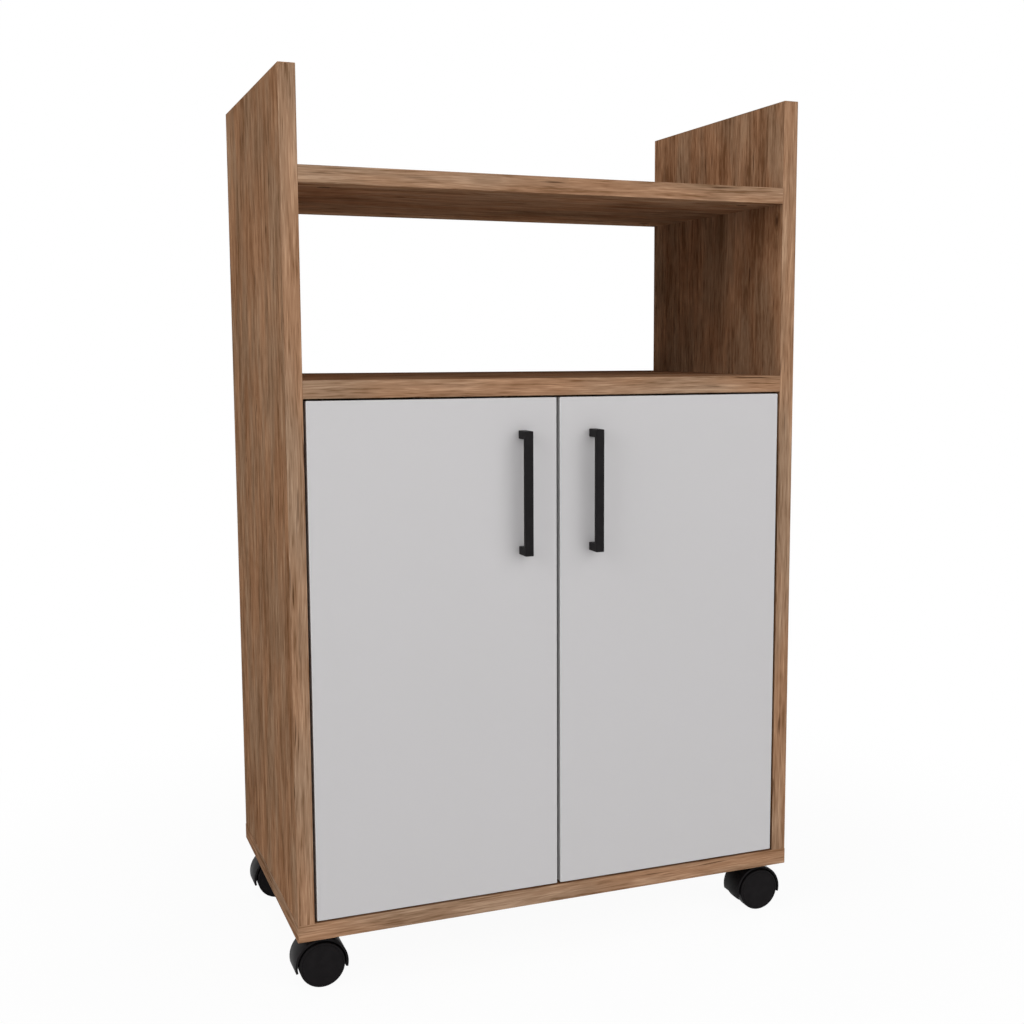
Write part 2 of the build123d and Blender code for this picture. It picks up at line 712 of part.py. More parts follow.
# Castors
for end, line in castor_lines.items():
    for name, side in SIDES.items():
        swivel = (side * castor_x, line)
        axle_middle = (side * (castor_x + castor_trail), line, axle_height)

        # Plate with its riveted swivel pin
        with BuildPart() as castor_plate:
            with BuildSketch(Plane.XY.offset(plate_underside)):
                with Locations(swivel):
                    RectangleRounded(castor_plate_size, castor_plate_size, castor_plate_corner)
            extrude(amount=castor_plate_thickness)
            with BuildSketch(Plane.XY.offset(plate_underside - swivel_pin_length)):
                with Locations(swivel):
                    Circle(swivel_pin_radius)
            extrude(amount=swivel_pin_length)
            drill([-plane for plane in castor_screw_planes(side, line, plate_underside)],
                  screw_radius, castor_plate_thickness)
        write(castor_plate, f"{end}_{name}_castor_plate")

        # Fork: a hood over both wheels, a web between them, and a swivel boss.
        # In its plane x runs the way the wheel trails and y runs up.
        fork_plane = Plane(origin=axle_middle, x_dir=(side, 0, 0), z_dir=(0, -side, 0))
        with BuildPart() as castor_fork:
            with BuildSketch(fork_plane):
                with BuildLine():
                    outer = CenterArc((0, 0), hood_radius, -hood_dip, 180 + 2 * hood_dip)
                    inner = CenterArc((0, 0), hood_inner_radius, -hood_dip, 180 + 2 * hood_dip)
                    Line(outer @ 0, inner @ 0)
                    Line(outer @ 1, inner @ 1)
                make_face()
            extrude(amount=hood_half, both=True)
            with BuildSketch(fork_plane):
                Circle(hood_inner_radius + hood_thickness / 2)
                with Locations((0, -web_drop)):
                    Rectangle(2 * hood_radius, hood_radius, align=(Align.CENTER, Align.MAX),
                              mode=Mode.SUBTRACT)
                Circle(axle_boss_radius)
            extrude(amount=web_thickness / 2, both=True)
            with BuildSketch(fork_plane):
                Circle(axle_boss_radius)
            extrude(amount=wheel_inner_face - axle_boss_gap, both=True)
            with BuildSketch(Plane.XY.offset(boss_top - swivel_boss_length)):
                with Locations(swivel):
                    Circle(swivel_boss_radius)
            extrude(amount=swivel_boss_length)
            with BuildSketch(Plane.XY.offset(boss_top - swivel_collar_length)):
                with Locations(swivel):
                    Circle(swivel_collar_radius)
            extrude(amount=swivel_collar_length)
            with BuildSketch(Plane.XY.offset(plate_underside - swivel_pin_length - swivel_face_gap)):
                with Locations(swivel):
                    Circle(swivel_pin_radius + swivel_clearance)
            extrude(amount=swivel_pin_length + swivel_face_gap, mode=Mode.SUBTRACT)
            with BuildSketch(fork_plane):
                Circle(axle_radius)
            extrude(amount=hood_half, both=True, mode=Mode.SUBTRACT)
        write(castor_fork, f"{end}_{name}_castor_fork")

        with BuildPart() as castor_axle:
            with BuildSketch(fork_plane):
                Circle(axle_radius)
            extrude(amount=axle_half, both=True)
        write(castor_axle, f"{end}_{name}_castor_axle")

        # Wheels: a closed outer face, a hub on the axle and a hollow towards the fork
        for face, out in {"front": -1, "back": 1}.items():
            wheel_plane = Plane(origin=axle_middle, x_dir=(0, out, 0), z_dir=(-out * side, 0, 0))
            rim_inner_radius = wheel_radius - wheel_rim_thickness
            recess_end = wheel_inner_face + wheel_recess_depth
            bore_radius = axle_radius + axle_clearance
            bore_end = wheel_outer_face - wheel_cap_thickness
            with BuildPart() as castor_wheel:
                with BuildSketch(wheel_plane):
                    with BuildLine():
                        Polyline(
                            (wheel_inner_face, bore_radius),
                            (wheel_inner_face, wheel_hub_radius),
                            (recess_end, wheel_hub_radius),
                            (recess_end, rim_inner_radius),
                            (wheel_inner_face, rim_inner_radius),
                            (wheel_inner_face, wheel_radius),
                            (wheel_outer_face, wheel_radius),
                            (wheel_outer_face, 0),
                            (bore_end, 0),
                            (bore_end, bore_radius),
                            close=True,
                        )
                    make_face()
                revolve(axis=Axis(axle_middle, (0, out, 0)))
                treads = castor_wheel.edges().filter_by(GeomType.CIRCLE).group_by(SortBy.RADIUS)[-1]
                fillet(treads, wheel_round)
            write(castor_wheel, f"{end}_{name}_castor_{face}_wheel")

with BuildPart() as castor_screws:
    for side in SIDES.values():
        for line in castor_lines.values():
            screw(castor_screw_planes(side, line, plate_underside), screw_length)
write(castor_screws, "castor_screws")
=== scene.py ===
"""Finish, lights and camera of a rolling storage cabinet with a tray top, an open bay and two doors."""

import json
import math

import bmesh
import bpy
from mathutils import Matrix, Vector


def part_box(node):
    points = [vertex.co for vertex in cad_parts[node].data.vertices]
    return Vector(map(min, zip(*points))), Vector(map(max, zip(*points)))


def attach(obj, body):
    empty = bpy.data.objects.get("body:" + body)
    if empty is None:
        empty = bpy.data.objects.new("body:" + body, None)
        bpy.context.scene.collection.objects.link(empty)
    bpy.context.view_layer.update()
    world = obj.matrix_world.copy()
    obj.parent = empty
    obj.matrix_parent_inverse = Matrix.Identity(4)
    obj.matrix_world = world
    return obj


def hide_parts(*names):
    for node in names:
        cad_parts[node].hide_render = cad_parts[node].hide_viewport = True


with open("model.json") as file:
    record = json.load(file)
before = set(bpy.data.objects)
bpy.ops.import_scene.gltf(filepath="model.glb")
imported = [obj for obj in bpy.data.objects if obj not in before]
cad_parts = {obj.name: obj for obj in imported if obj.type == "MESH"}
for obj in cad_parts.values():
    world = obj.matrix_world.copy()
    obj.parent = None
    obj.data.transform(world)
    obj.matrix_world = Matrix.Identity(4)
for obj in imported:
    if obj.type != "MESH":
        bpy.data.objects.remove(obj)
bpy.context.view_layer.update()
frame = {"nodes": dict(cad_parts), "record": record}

nodes = frame["nodes"]
bodies = frame["record"]["behaviour"]["bodies"]
body_of = {node: body for body, members in bodies.items() for node in members}
slot_of = {part["node"]: part["material_slot"] for part in frame["record"]["subparts"]}

MM = 0.001
SIDES = ("left", "right")
ENDS = ("front", "rear")
PLACES = ("upper", "lower")
X = Vector((1, 0, 0))
Y = Vector((0, 1, 0))
Z = Vector((0, 0, 1))


# Node tree helpers

def put(tree, kind, inputs=None, **settings):
    """Adds a node. Each input is given by name or number, as a value or as a socket to link from."""
    node = tree.nodes.new(kind)
    for name, value in settings.items():
        setattr(node, name, value)
    for key, value in (inputs or {}).items():
        if isinstance(value, bpy.types.NodeSocket):
            tree.links.new(value, node.inputs[key])
        else:
            node.inputs[key].default_value = value
    return node


def result(tree, kind, inputs=None, output=0, **settings):
    """One output of a new node."""
    return put(tree, kind, inputs, **settings).outputs[output]


def tree_of(*values):
    """The tree of the first socket among some values."""
    return next(value.id_data for value in values if isinstance(value, bpy.types.NodeSocket))


def maths(operation, *values):
    """Result of a Math node."""
    tree = tree_of(*values)
    return result(tree, "ShaderNodeMath", dict(enumerate(values)), operation=operation)


def plus(first, second):
    """Sum of two numbers."""
    return maths("ADD", first, second)


def minus(first, second):
    """Difference of two numbers."""
    return maths("SUBTRACT", first, second)


def times(first, second):
    """Product of two numbers."""
    return maths("MULTIPLY", first, second)


def blended(amount, weight, base):
    """A number that grows from a base by a weight for each unit of the amount."""
    return maths("MULTIPLY_ADD", amount, weight, base)


def vectors(operation, *values):
    """Result of a Vector Math node."""
    tree = tree_of(*values)
    output = "Value" if operation in ("DOT_PRODUCT", "LENGTH") else "Vector"
    return result(tree, "ShaderNodeVectorMath", dict(enumerate(values)), output, operation=operation)


def vector(x=0.0, y=0.0, z=0.0):
    """A vector from its three parts."""
    return result(tree_of(x, y, z), "ShaderNodeCombineXYZ", {"X": x, "Y": y, "Z": z})


def rise(value, low, high, start=0.0, end=1.0):
    """Goes smoothly from start to end as the value goes from low to high."""
    inputs = {"Value": value, "From Min": low, "From Max": high, "To Min": start, "To Max": end}
    return result(tree_of(value), "ShaderNodeMapRange", inputs, interpolation_type="SMOOTHSTEP")


def noise(place, scale, detail=2.0, roughness=0.5):
    """Noise at a scale in waves per metre, or along each axis for a vector scale."""
    if isinstance(scale, tuple):
        place = vectors("MULTIPLY", place, scale)
        scale = 1.0
    inputs = {"Vector": place, "Scale": scale, "Detail": detail, "Roughness": roughness}
    return result(tree_of(place), "ShaderNodeTexNoise", inputs)


def tint(amount, under, over, blend="MIX"):
    """Mixes two colours."""
    tree = tree_of(amount, under, over)
    inputs = {0: amount, 6: under, 7: over}
    return result(tree, "ShaderNodeMix", inputs, 2, data_type="RGBA", blend_type=blend)


def between(amount, first, second):
    """Mixes two vectors."""
    inputs = {0: amount, 4: first, 5: second}
    return result(tree_of(amount), "ShaderNodeMix", inputs, 1, data_type="VECTOR")


def paint(red, green, blue):
    """A screen colour, 0 to 255, as the linear colour that shaders take."""
    shares = (red / 255, green / 255, blue / 255)
    return (*[s / 12.92 if s <= 0.04045 else ((s + 0.055) / 1.055) ** 2.4 for s in shares], 1.0)


def socket_kind(value):
    """The kind of socket that holds a value. A string is the name of a kind already."""
    if isinstance(value, str):
        return value
    return {float: "Float", int: "Int"}.get(type(value)) or {3: "Vector", 4: "Color"}[len(value)]


def new_group(kind, name, inputs, outputs):
    """A new node group, with each socket given as name: value, or as name: kind where it has no value."""
    tree = bpy.data.node_groups.new(name, f"{kind}NodeTree")
    for direction, sockets in (("INPUT", inputs), ("OUTPUT", outputs)):
        for label, value in sockets.items():
            socket_type = f"NodeSocket{socket_kind(value)}"
            socket = tree.interface.new_socket(label, in_out=direction, socket_type=socket_type)
            if not isinstance(value, str):
                socket.default_value = value
    return tree, tree.nodes.new("NodeGroupInput").outputs, tree.nodes.new("NodeGroupOutput")


def use(group, inputs):
    """Places a shader group in the tree of its inputs, and returns its outputs."""
    return put(tree_of(*inputs.values()), "ShaderNodeGroup", inputs, node_tree=group).outputs


def send(exit_node, **results):
    """Links a tree's results to the inputs of its last node."""
    for name, socket in results.items():
        exit_node.id_data.links.new(socket, exit_node.inputs[name.replace("_", " ")])


def empty_tree(holder):
    """The node tree of a new material or world, without nodes."""
    holder.use_nodes = True
    holder.node_tree.nodes.clear()
    return holder.node_tree


def new_material(name, shine=0.5):
    """A new node material, its Principled shader and its object coordinates."""
    material = bpy.data.materials.new(name)
    tree = empty_tree(material)
    shader = put(tree, "ShaderNodeBsdfPrincipled", {"Specular IOR Level": shine})
    send(tree.nodes.new("ShaderNodeOutputMaterial"), Surface=shader.outputs["BSDF"])
    return material, shader, result(tree, "ShaderNodeTexCoord", output="Object")


def relief(shader, height, depth):
    """Bumps the shader by a height from 0 to 1 that stands for a depth in metres."""
    inputs = {"Height": height, "Distance": depth, "Strength": 1.0}
    send(shader, Normal=result(tree_of(height), "ShaderNodeBump", inputs))


# Shared effects

def make_print_place():
    """Lays a flat print on a board: its length along one direction, its width across the others."""
    tree, inside, out = new_group(
        "Shader", "print_place",
        {"Place": (0, 0, 0), "Along": Z, "Across": X + Y, "Shift": (0, 0, 0)},
        {"Print": "Vector"})
    along = vectors("DOT_PRODUCT", inside["Place"], inside["Along"])
    across = vectors("DOT_PRODUCT", inside["Place"], inside["Across"])
    send(out, Print=vectors("ADD", vector(across, along), inside["Shift"]))
    return tree


def make_edge_strip():
    """Marks the strips glued to a board's two edges along one direction, and their glue lines."""
    tree, inside, out = new_group(
        "Shader", "edge_strip",
        {"Place": (0, 0, 0), "Direction": Y, "Low": 0.0, "High": 1.0, "Thickness": 0.8 * MM},
        {"Strip": "Float", "Glue Line": "Float"})
    line_core = 0.1 * MM
    line_end = 0.3 * MM
    spot = vectors("DOT_PRODUCT", inside["Place"], inside["Direction"])
    depth = maths("MINIMUM", minus(spot, inside["Low"]), minus(inside["High"], spot))
    strip = maths("LESS_THAN", depth, inside["Thickness"])
    off_line = maths("ABSOLUTE", minus(depth, inside["Thickness"]))
    send(out, Strip=strip, Glue_Line=rise(off_line, line_core, line_end, 1.0, 0.0))
    return tree


# Layers of the wood print: waves per metre across and along the grain, then its weight in the tone
BROAD_LAYERS = (((24, 3.2, 1), 1.0), ((58, 12, 1), 0.8), ((12, 10, 1), 0.2))
STREAKS = ((230, 15, 1), 1.3)
FIBRES = ((700, 60, 1), 1.1)
SOFT = 0.55
# Its other patterns: waves per metre, where in the print each starts, and the noise values between
# which it rises
WARM_PATCHES = ((26, 7, 1), (5.2, 1.1, 0), (0.34, 0.66))
PORES = ((640, 34, 1), (0.0, 0.0, 0), (0.60, 0.72))
CRACKS = ((230, 20, 1), (3.1, 0.7, 0), (0.64, 0.76))
CRACK_GROUPS = ((22, 6, 1), (0.4, 1.9, 0), (0.45, 0.6))
DASHES = ((430, 24, 1), (6.3, 2.7, 0), (0.65, 0.74))
DASH_GROUPS = ((30, 9, 1), (4.7, 3.3, 0), (0.48, 0.62))
# How the lines wander, the tones over which the colours change, and the casts of red and olive patches
WANDER = (9, 3.0, 1)
WANDER_WIDTH = 24 * MM
DARK_TONES = (0.12, 0.52)
PALE_TONES = (0.48, 0.92)
RED_CAST = (1.05, 0.955, 0.90, 1.0)
OLIVE_CAST = (0.97, 1.01, 1.06, 1.0)

# Knots: one in each cell of a grid of cells per metre, where the cell's random value is over a limit
KNOT_PITCH = (11.0, 4.6, 1.0)
KNOT_SIZE = (4.2 * MM, 9.5 * MM, 1.0)
KNOT_LIMIT = 0.5
KNOT_LEAST = 0.5
KNOT_SPREAD = 0.9
KNOT_BEND = -0.75
RING_WAVES = 8.5
RING_RISE = (-0.2, 1.0)
# How far out from its middle each part of a knot fades, in knot sizes
BEND_FADE = (0.2, 3.4)
HEART_FADE = (0.25, 1.0)
RING_FADE = (0.8, 2.6)

# How much of the dark colours each mark takes on, and how deep it lies
PORE_SHARE = 0.34
PORE_SINK = 0.5
RING_SHARE = 0.5
CRACK_SHARE = 0.85
HEART_SHARE = 0.8


def pattern(place, plan, detail=1.0, roughness=0.4):
    """A mask of one of the print's patterns."""
    waves, start, (low, high) = plan
    place = vectors("ADD", place, start)
    return rise(noise(place, waves, detail, roughness), low, high)


def make_wood_print():
    """Printed wood: patches and short streaks, with dark dashes, cracks and small knots."""
    tree, inside, out = new_group(
        "Shader", "wood_print",
        {"Print": (0, 0, 0), "Pale": (1, 1, 1, 1), "Middle": (1, 1, 1, 1), "Dark": (1, 1, 1, 1),
         "Mark": (0, 0, 0, 1), "Broad": 1.0, "Cracks": 1.0, "Dashes": 0.35, "Knots": 1.0},
        {"Color": "Color", "Roughness": "Float", "Height": "Float"})
    flat = inside["Print"]

    # The lines wander slowly, and bend round each knot
    sway = times(minus(noise(flat, WANDER), 0.5), WANDER_WIDTH)
    knot_grid = vectors("MULTIPLY", flat, KNOT_PITCH)
    cell = put(tree, "ShaderNodeTexVoronoi", {"Vector": knot_grid, "Scale": 1.0, "Randomness": 0.85},
               voronoi_dimensions="2D")
    offset = vectors("SUBTRACT", knot_grid, cell.outputs["Position"])
    offset = vectors("DIVIDE", offset, KNOT_PITCH)
    draw = put(tree, "ShaderNodeSeparateColor", {"Color": cell.outputs["Color"]}).outputs
    is_knot = times(maths("GREATER_THAN", draw["Red"], KNOT_LIMIT), inside["Knots"])
    size = blended(draw["Green"], KNOT_SPREAD, KNOT_LEAST)
    reach = vectors("LENGTH", vectors("DIVIDE", offset, KNOT_SIZE))
    reach = maths("DIVIDE", reach, size)
    push = times(rise(reach, *BEND_FADE, 1.0, 0.0), is_knot)
    offset_x = result(tree, "ShaderNodeSeparateXYZ", {"Vector": offset})
    shift = plus(sway, times(times(offset_x, push), KNOT_BEND))
    lines = vectors("ADD", flat, vector(shift))

    # Tone, from broad bands down to single fibres
    broad = 0.0
    for waves, weight in BROAD_LAYERS:
        layer = noise(lines, waves, roughness=SOFT)
        broad = blended(minus(layer, 0.5), weight, broad)
    streaks = noise(lines, STREAKS[0], roughness=SOFT)
    fibres = noise(lines, FIBRES[0], roughness=SOFT)
    tone = blended(broad, inside["Broad"], 0.5)
    tone = blended(minus(streaks, 0.5), STREAKS[1], tone)
    tone = blended(minus(fibres, 0.5), FIBRES[1], tone)
    colour = tint(rise(tone, *DARK_TONES), inside["Dark"], inside["Middle"])
    colour = tint(rise(tone, *PALE_TONES), colour, inside["Pale"])

    # Patches that lean to red and to olive
    red = tint(1.0, colour, RED_CAST, "MULTIPLY")
    olive = tint(1.0, colour, OLIVE_CAST, "MULTIPLY")
    colour = tint(pattern(lines, WARM_PATCHES, 2.0, SOFT), olive, red)

    # Pores, the knots' rings and hearts, and cracks and dashes in groups
    pores = pattern(lines, PORES, 2.0, 0.5)
    cracks = times(pattern(lines, CRACKS), pattern(flat, CRACK_GROUPS, roughness=0.5))
    dashes = times(pattern(lines, DASHES), pattern(flat, DASH_GROUPS, roughness=0.5))
    cracks = times(cracks, inside["Cracks"])
    dashes = times(dashes, inside["Dashes"])
    cracks = maths("MAXIMUM", cracks, dashes)
    heart = times(rise(reach, *HEART_FADE, 1.0, 0.0), is_knot)
    ring_wave = maths("SINE", times(reach, RING_WAVES))
    ring_zone = times(rise(reach, *RING_FADE, 1.0, 0.0), is_knot)
    rings = times(rise(ring_wave, *RING_RISE), ring_zone)
    colour = tint(times(pores, PORE_SHARE), colour, inside["Dark"])
    colour = tint(times(rings, RING_SHARE), colour, inside["Dark"])
    marks = maths("MAXIMUM", times(cracks, CRACK_SHARE), times(heart, HEART_SHARE))
    colour = tint(marks, colour, inside["Mark"])

    # The foil is pressed in along pores and cracks, and is duller there
    sunk = maths("MAXIMUM", times(pores, PORE_SINK), marks)
    height = blended(sunk, weight=-0.65, base=blended(fibres, weight=0.35, base=0.65))
    roughness = blended(sunk, weight=0.16, base=blended(fibres, weight=0.14, base=0.60))
    send(out, Color=colour, Roughness=roughness, Height=height)
    return tree


def make_fine_texture():
    """Fine even grain of a moulded, sprayed or foiled surface, with slow changes of gloss and tone."""
    tree, inside, out = new_group(
        "Shader", "fine_texture",
        {"Place": (0, 0, 0), "Grain Size": 0.4 * MM, "Patch Size": 60 * MM},
        {"Grain": "Float", "Patches": "Float"})
    fine = maths("DIVIDE", 1.0, inside["Grain Size"])
    broad = maths("DIVIDE", 1.0, inside["Patch Size"])
    send(out, Grain=noise(inside["Place"], fine), Patches=noise(inside["Place"], broad, detail=3.0))
    return tree


def make_rolled_metal():
    """Fine lines of rolled and tumbled metal, in one direction, with scattered small scratches."""
    tree, inside, out = new_group(
        "Shader", "rolled_metal",
        {"Place": (0, 0, 0), "Stretch": (1, 1, 0.05), "Line Size": 0.25 * MM},
        {"Lines": "Float", "Scratches": "Float"})
    scratch_waves = 900.0
    scratch_rise = (0.62, 0.7)
    fine = maths("DIVIDE", 1.0, inside["Line Size"])
    drawn = vectors("MULTIPLY", inside["Place"], inside["Stretch"])
    scratches = rise(noise(inside["Place"], scratch_waves), *scratch_rise)
    send(out, Lines=noise(drawn, fine, detail=3.0), Scratches=scratches)
    return tree


print_place = make_print_place()
edge_strip = make_edge_strip()
wood_print = make_wood_print()
fine_texture = make_fine_texture()
rolled_metal = make_rolled_metal()

# Colours of the finishes
wood = {"Pale": paint(178, 141, 110), "Middle": paint(150, 115, 87), "Dark": paint(116, 83, 57),
        "Mark": paint(66, 41, 25)}
beech_wood = {"Pale": paint(214, 181, 140), "Middle": paint(200, 163, 120), "Dark": paint(176, 136, 95),
              "Mark": paint(176, 136, 95)}
# Edge strips are paler and bluer than the board: partly their own tone, partly a painted sheen standing in
# for the light their front edges catch
strip_tone_and_sheen = (1.02, 1.10, 1.19, 1.0)
door_grey = paint(193, 191, 192)
door_dull_grey = paint(184, 184, 180)
# Paler grey of the door's edge band, which also serves as a painted highlight along the door's edges
door_edge_band_and_highlight_grey = paint(203, 202, 202)
door_glue_grey = paint(150, 148, 146)


# Finishes

def textured(place, grain_size, patch_size):
    """The fine texture at a place."""
    return use(fine_texture, {"Place": place, "Grain Size": grain_size, "Patch Size": patch_size})


def faded(mask, colour, worn, most, low, high):
    """A colour that goes some way to its worn tone as a mask goes from low to high."""
    return tint(rise(mask, low, high, 0.0, most), colour, worn)


def board_material(name, node, along, ends, shift):
    """Foiled board with its grain along one direction, and strips glued to its edges and ends; the strips
    are paler partly by their own tone and partly by a painted sheen.
    """
    strip_shift = Vector(shift) + Vector((0.37, 1.21, 0))
    end_shift = strip_shift + Vector((1.7, 0.4, 0))
    strip_stretch = 0.6
    strip_broad = 0.4
    face_dashes = 0.35
    glue_share = 0.35
    print_depth = 0.05 * MM
    across = X + Y + Z - along
    material, shader, place = new_material(name, shine=0.0)
    low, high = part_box(node)
    face = use(print_place, {"Place": place, "Along": along, "Across": across, "Shift": shift})
    long_strip = use(edge_strip, {"Place": place, "Direction": Y, "Low": low.y, "High": high.y})
    strip_print = use(print_place, {
        "Place": place, "Along": along * strip_stretch, "Across": across, "Shift": strip_shift})
    laid = between(long_strip["Strip"], face["Print"], strip_print["Print"])
    strips = long_strip["Strip"]
    glue = long_strip["Glue Line"]
    if ends:
        end_strip = use(edge_strip, {
            "Place": place, "Direction": along, "Low": low.dot(along) + ends[0],
            "High": high.dot(along) + ends[1]})
        end_print = use(print_place, {
            "Place": place, "Along": Y * strip_stretch, "Across": X + Z, "Shift": end_shift})
        laid = between(end_strip["Strip"], laid, end_print["Print"])
        strips = maths("MAXIMUM", strips, end_strip["Strip"])
        glue = maths("MAXIMUM", glue, end_strip["Glue Line"])
    printed = use(wood_print, {
        "Print": laid, **wood, "Broad": rise(strips, 0.0, 1.0, 1.0, strip_broad),
        "Dashes": rise(strips, 0.0, 1.0, face_dashes, 1.0), "Knots": minus(1.0, strips)})
    # Painted sheen: the strips take a paler, bluer cast, partly the strip's own tone and partly the whitish
    # sheen of lit edges, as the boards have no specular
    strip_with_painted_sheen = tint(1.0, printed["Color"], strip_tone_and_sheen, "MULTIPLY")
    colour = tint(strips, printed["Color"], strip_with_painted_sheen)
    colour = tint(times(glue, glue_share), colour, wood["Dark"])
    send(shader, Base_Color=colour, Roughness=printed["Roughness"])
    relief(shader, printed["Height"], print_depth)
    return material


def door_material(name, node):
    """Grey foiled door, with a thin paler strip round its edge: partly the edge band's own tone, partly a
    painted highlight along the edges.
    """
    strip_thickness = 1.0 * MM
    glue_share = 0.16
    material, shader, place = new_material(name, shine=0.35)
    low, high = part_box(node)
    around = [
        use(edge_strip, {
            "Place": place, "Direction": direction, "Low": low.dot(direction),
            "High": high.dot(direction), "Thickness": strip_thickness})
        for direction in (X, Z)
    ]
    strip = maths("MAXIMUM", *[side["Strip"] for side in around])
    glue = maths("MAXIMUM", *[side["Glue Line"] for side in around])
    texture = textured(place, grain_size=0.5 * MM, patch_size=180 * MM)
    colour = faded(texture["Patches"], door_grey, door_dull_grey, most=0.06, low=0.3, high=0.7)
    # Painted highlight: the paler band round the door is partly the edge band's own tone, partly the light
    # the door's edges catch
    colour = tint(strip, colour, door_edge_band_and_highlight_grey)
    colour = tint(times(glue, glue_share), colour, door_glue_grey)
    send(shader, Base_Color=colour, Roughness=blended(texture["Patches"], weight=0.10, base=0.42))
    relief(shader, texture["Grain"], depth=0.012 * MM)
    return material


def black_material(name, colour, worn, roughness, grain_size, depth):
    """Black plastic or powder coat with a fine even grain."""
    material, shader, place = new_material(name, shine=0.05)
    texture = textured(place, grain_size, patch_size=9 * MM)
    shade = faded(texture["Patches"], colour, worn, most=0.5, low=0.35, high=0.75)
    shade = faded(texture["Grain"], shade, worn, most=0.35, low=0.3, high=0.8)
    send(shader, Base_Color=shade, Roughness=blended(texture["Patches"], weight=0.14, base=roughness))
    relief(shader, texture["Grain"], depth)
    return material


def metal_material(name, colour, dull, roughness, stretch):
    """Plated steel with fine lines from rolling."""
    scratch_share = 0.3
    material, shader, place = new_material(name)
    marks = use(rolled_metal, {"Place": place, "Stretch": stretch})
    texture = textured(place, grain_size=0.3 * MM, patch_size=7 * MM)
    shade = faded(texture["Patches"], colour, dull, most=0.7, low=0.35, high=0.7)
    shade = tint(times(marks["Scratches"], scratch_share), shade, dull)
    roughness = blended(marks["Lines"], weight=0.18, base=roughness)
    roughness = blended(marks["Scratches"], weight=0.1, base=roughness)
    send(shader, Base_Color=shade, Roughness=roughness)
    shader.inputs["Metallic"].default_value = 1.0
    relief(shader, marks["Lines"], depth=0.008 * MM)
    return material


def plastic_material(name, colour, worn, roughness, shine):
    """Plain moulded plastic."""
    material, shader, place = new_material(name, shine)
    texture = textured(place, grain_size=0.35 * MM, patch_size=12 * MM)
    shade = faded(texture["Patches"], colour, worn, most=0.6, low=0.3, high=0.75)
    send(shader, Base_Color=shade, Roughness=blended(texture["Grain"], weight=0.12, base=roughness))
    relief(shader, texture["Grain"], depth=0.015 * MM)
    return material


def beech_material(name):
    """Turned beech with short flecks."""
    material, shader, place = new_material(name)
    start = (2.0, 5.0, 0.0)
    laid = use(print_place, {"Place": place, "Along": X, "Across": Y + Z, "Shift": start})
    grain = use(wood_print, {"Print": laid["Print"], **beech_wood, "Cracks": 0.5, "Knots": 0.0})
    send(shader, Base_Color=grain["Color"], Roughness=grain["Roughness"])
    relief(shader, grain["Height"], depth=0.04 * MM)
    return material


def finish(node, material):
    """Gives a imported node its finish."""
    for slot in nodes[node].material_slots:
        slot.material = material


# Boards: the grain's direction, how far each end's strip lies from that end, and the print's shift.
# A strip a metre away doesn't show.
no_strip = -1.0
board_plans = {
    "bottom_panel": (X, (0.0, 0.0), (0.11, 0.4, 0)),
    "left_side_panel": (Z, (no_strip, 0.0), (0.62, 2.3, 0)),
    "right_side_panel": (Z, (no_strip, 0.0), (1.93, 5.6, 0)),
    "middle_panel": (X, None, (3.31, 1.5, 0)),
    "tray_panel": (X, None, (4.17, 7.9, 0)),
    "inner_shelf": (X, (0.0, 0.0), (6.53, 3.2, 0)),
    "back_panel": (Z, None, (8.21, 0.9, 0)),
}
for node, (along, ends, shift) in board_plans.items():
    finish(node, board_material(f"{node}_finish", node, along, ends, shift))
for side in SIDES:
    finish(f"{side}_door_panel", door_material(f"{side}_door_finish", f"{side}_door_panel"))

along_y = (1, 0.06, 1)
along_z = (1, 1, 0.06)
zinc = metal_material("zinc_plate", (0.6, 0.6, 0.6, 1), (0.46, 0.47, 0.48, 1), 0.26, along_z)
slot_finish = {
    "beech": beech_material("beech_finish"),
    "cover_plastic": plastic_material(
        "cover_foil", paint(104, 78, 58), paint(94, 69, 50), roughness=0.6, shine=0.0),
    "catch_plastic": plastic_material(
        "brown_plastic", paint(62, 44, 33), paint(54, 38, 28), roughness=0.42, shine=0.1),
    "handle_metal": black_material(
        "black_powder_coat", paint(22, 20, 21), paint(34, 32, 33), roughness=0.38,
        grain_size=0.30 * MM, depth=0.02 * MM),
    "castor_plastic": black_material(
        "black_nylon", paint(20, 18, 19), paint(30, 28, 29), roughness=0.40,
        grain_size=0.45 * MM, depth=0.012 * MM),
    "castor_steel": metal_material(
        "black_zinc_plate", (0.035, 0.035, 0.037, 1), (0.02, 0.02, 0.02, 1), 0.34, along_y),
    "hinge_steel": metal_material(
        "nickel_plate", (0.62, 0.61, 0.59, 1), (0.5, 0.49, 0.48, 1), 0.22, along_y),
    "strike_steel": zinc,
    "zinc_steel": zinc,
}
for node, slot in slot_of.items():
    if slot in slot_finish:
        finish(node, slot_finish[slot])


# Shapes of the fasteners and ribs

SHARP_ANGLE = math.radians(38)
SAME_PLACE = 0.001 * MM


def shape_group(name, base, sizes):
    """A new geometry group that works on a base geometry. Its sizes are given as name: value."""
    inputs = {base: "Geometry", **sizes, "Material": "Material"}
    return new_group("Geometry", name, inputs, {"Geometry": "Geometry"})


def joined(*shapes):
    """Several geometries as one."""
    tree = tree_of(*shapes)
    node = tree.nodes.new("GeometryNodeJoinGeometry")
    for shape in shapes:
        tree.links.new(shape, node.inputs["Geometry"])
    return node.outputs["Geometry"]


def moved(shape, **changes):
    """A geometry after a translation, rotation or scale."""
    inputs = {"Geometry": shape, **{name.title(): value for name, value in changes.items()}}
    return result(tree_of(shape), "GeometryNodeTransform", inputs)


def position(tree):
    """The three parts of each corner's place."""
    spot = result(tree, "GeometryNodeInputPosition")
    return put(tree, "ShaderNodeSeparateXYZ", {"Vector": spot}).outputs


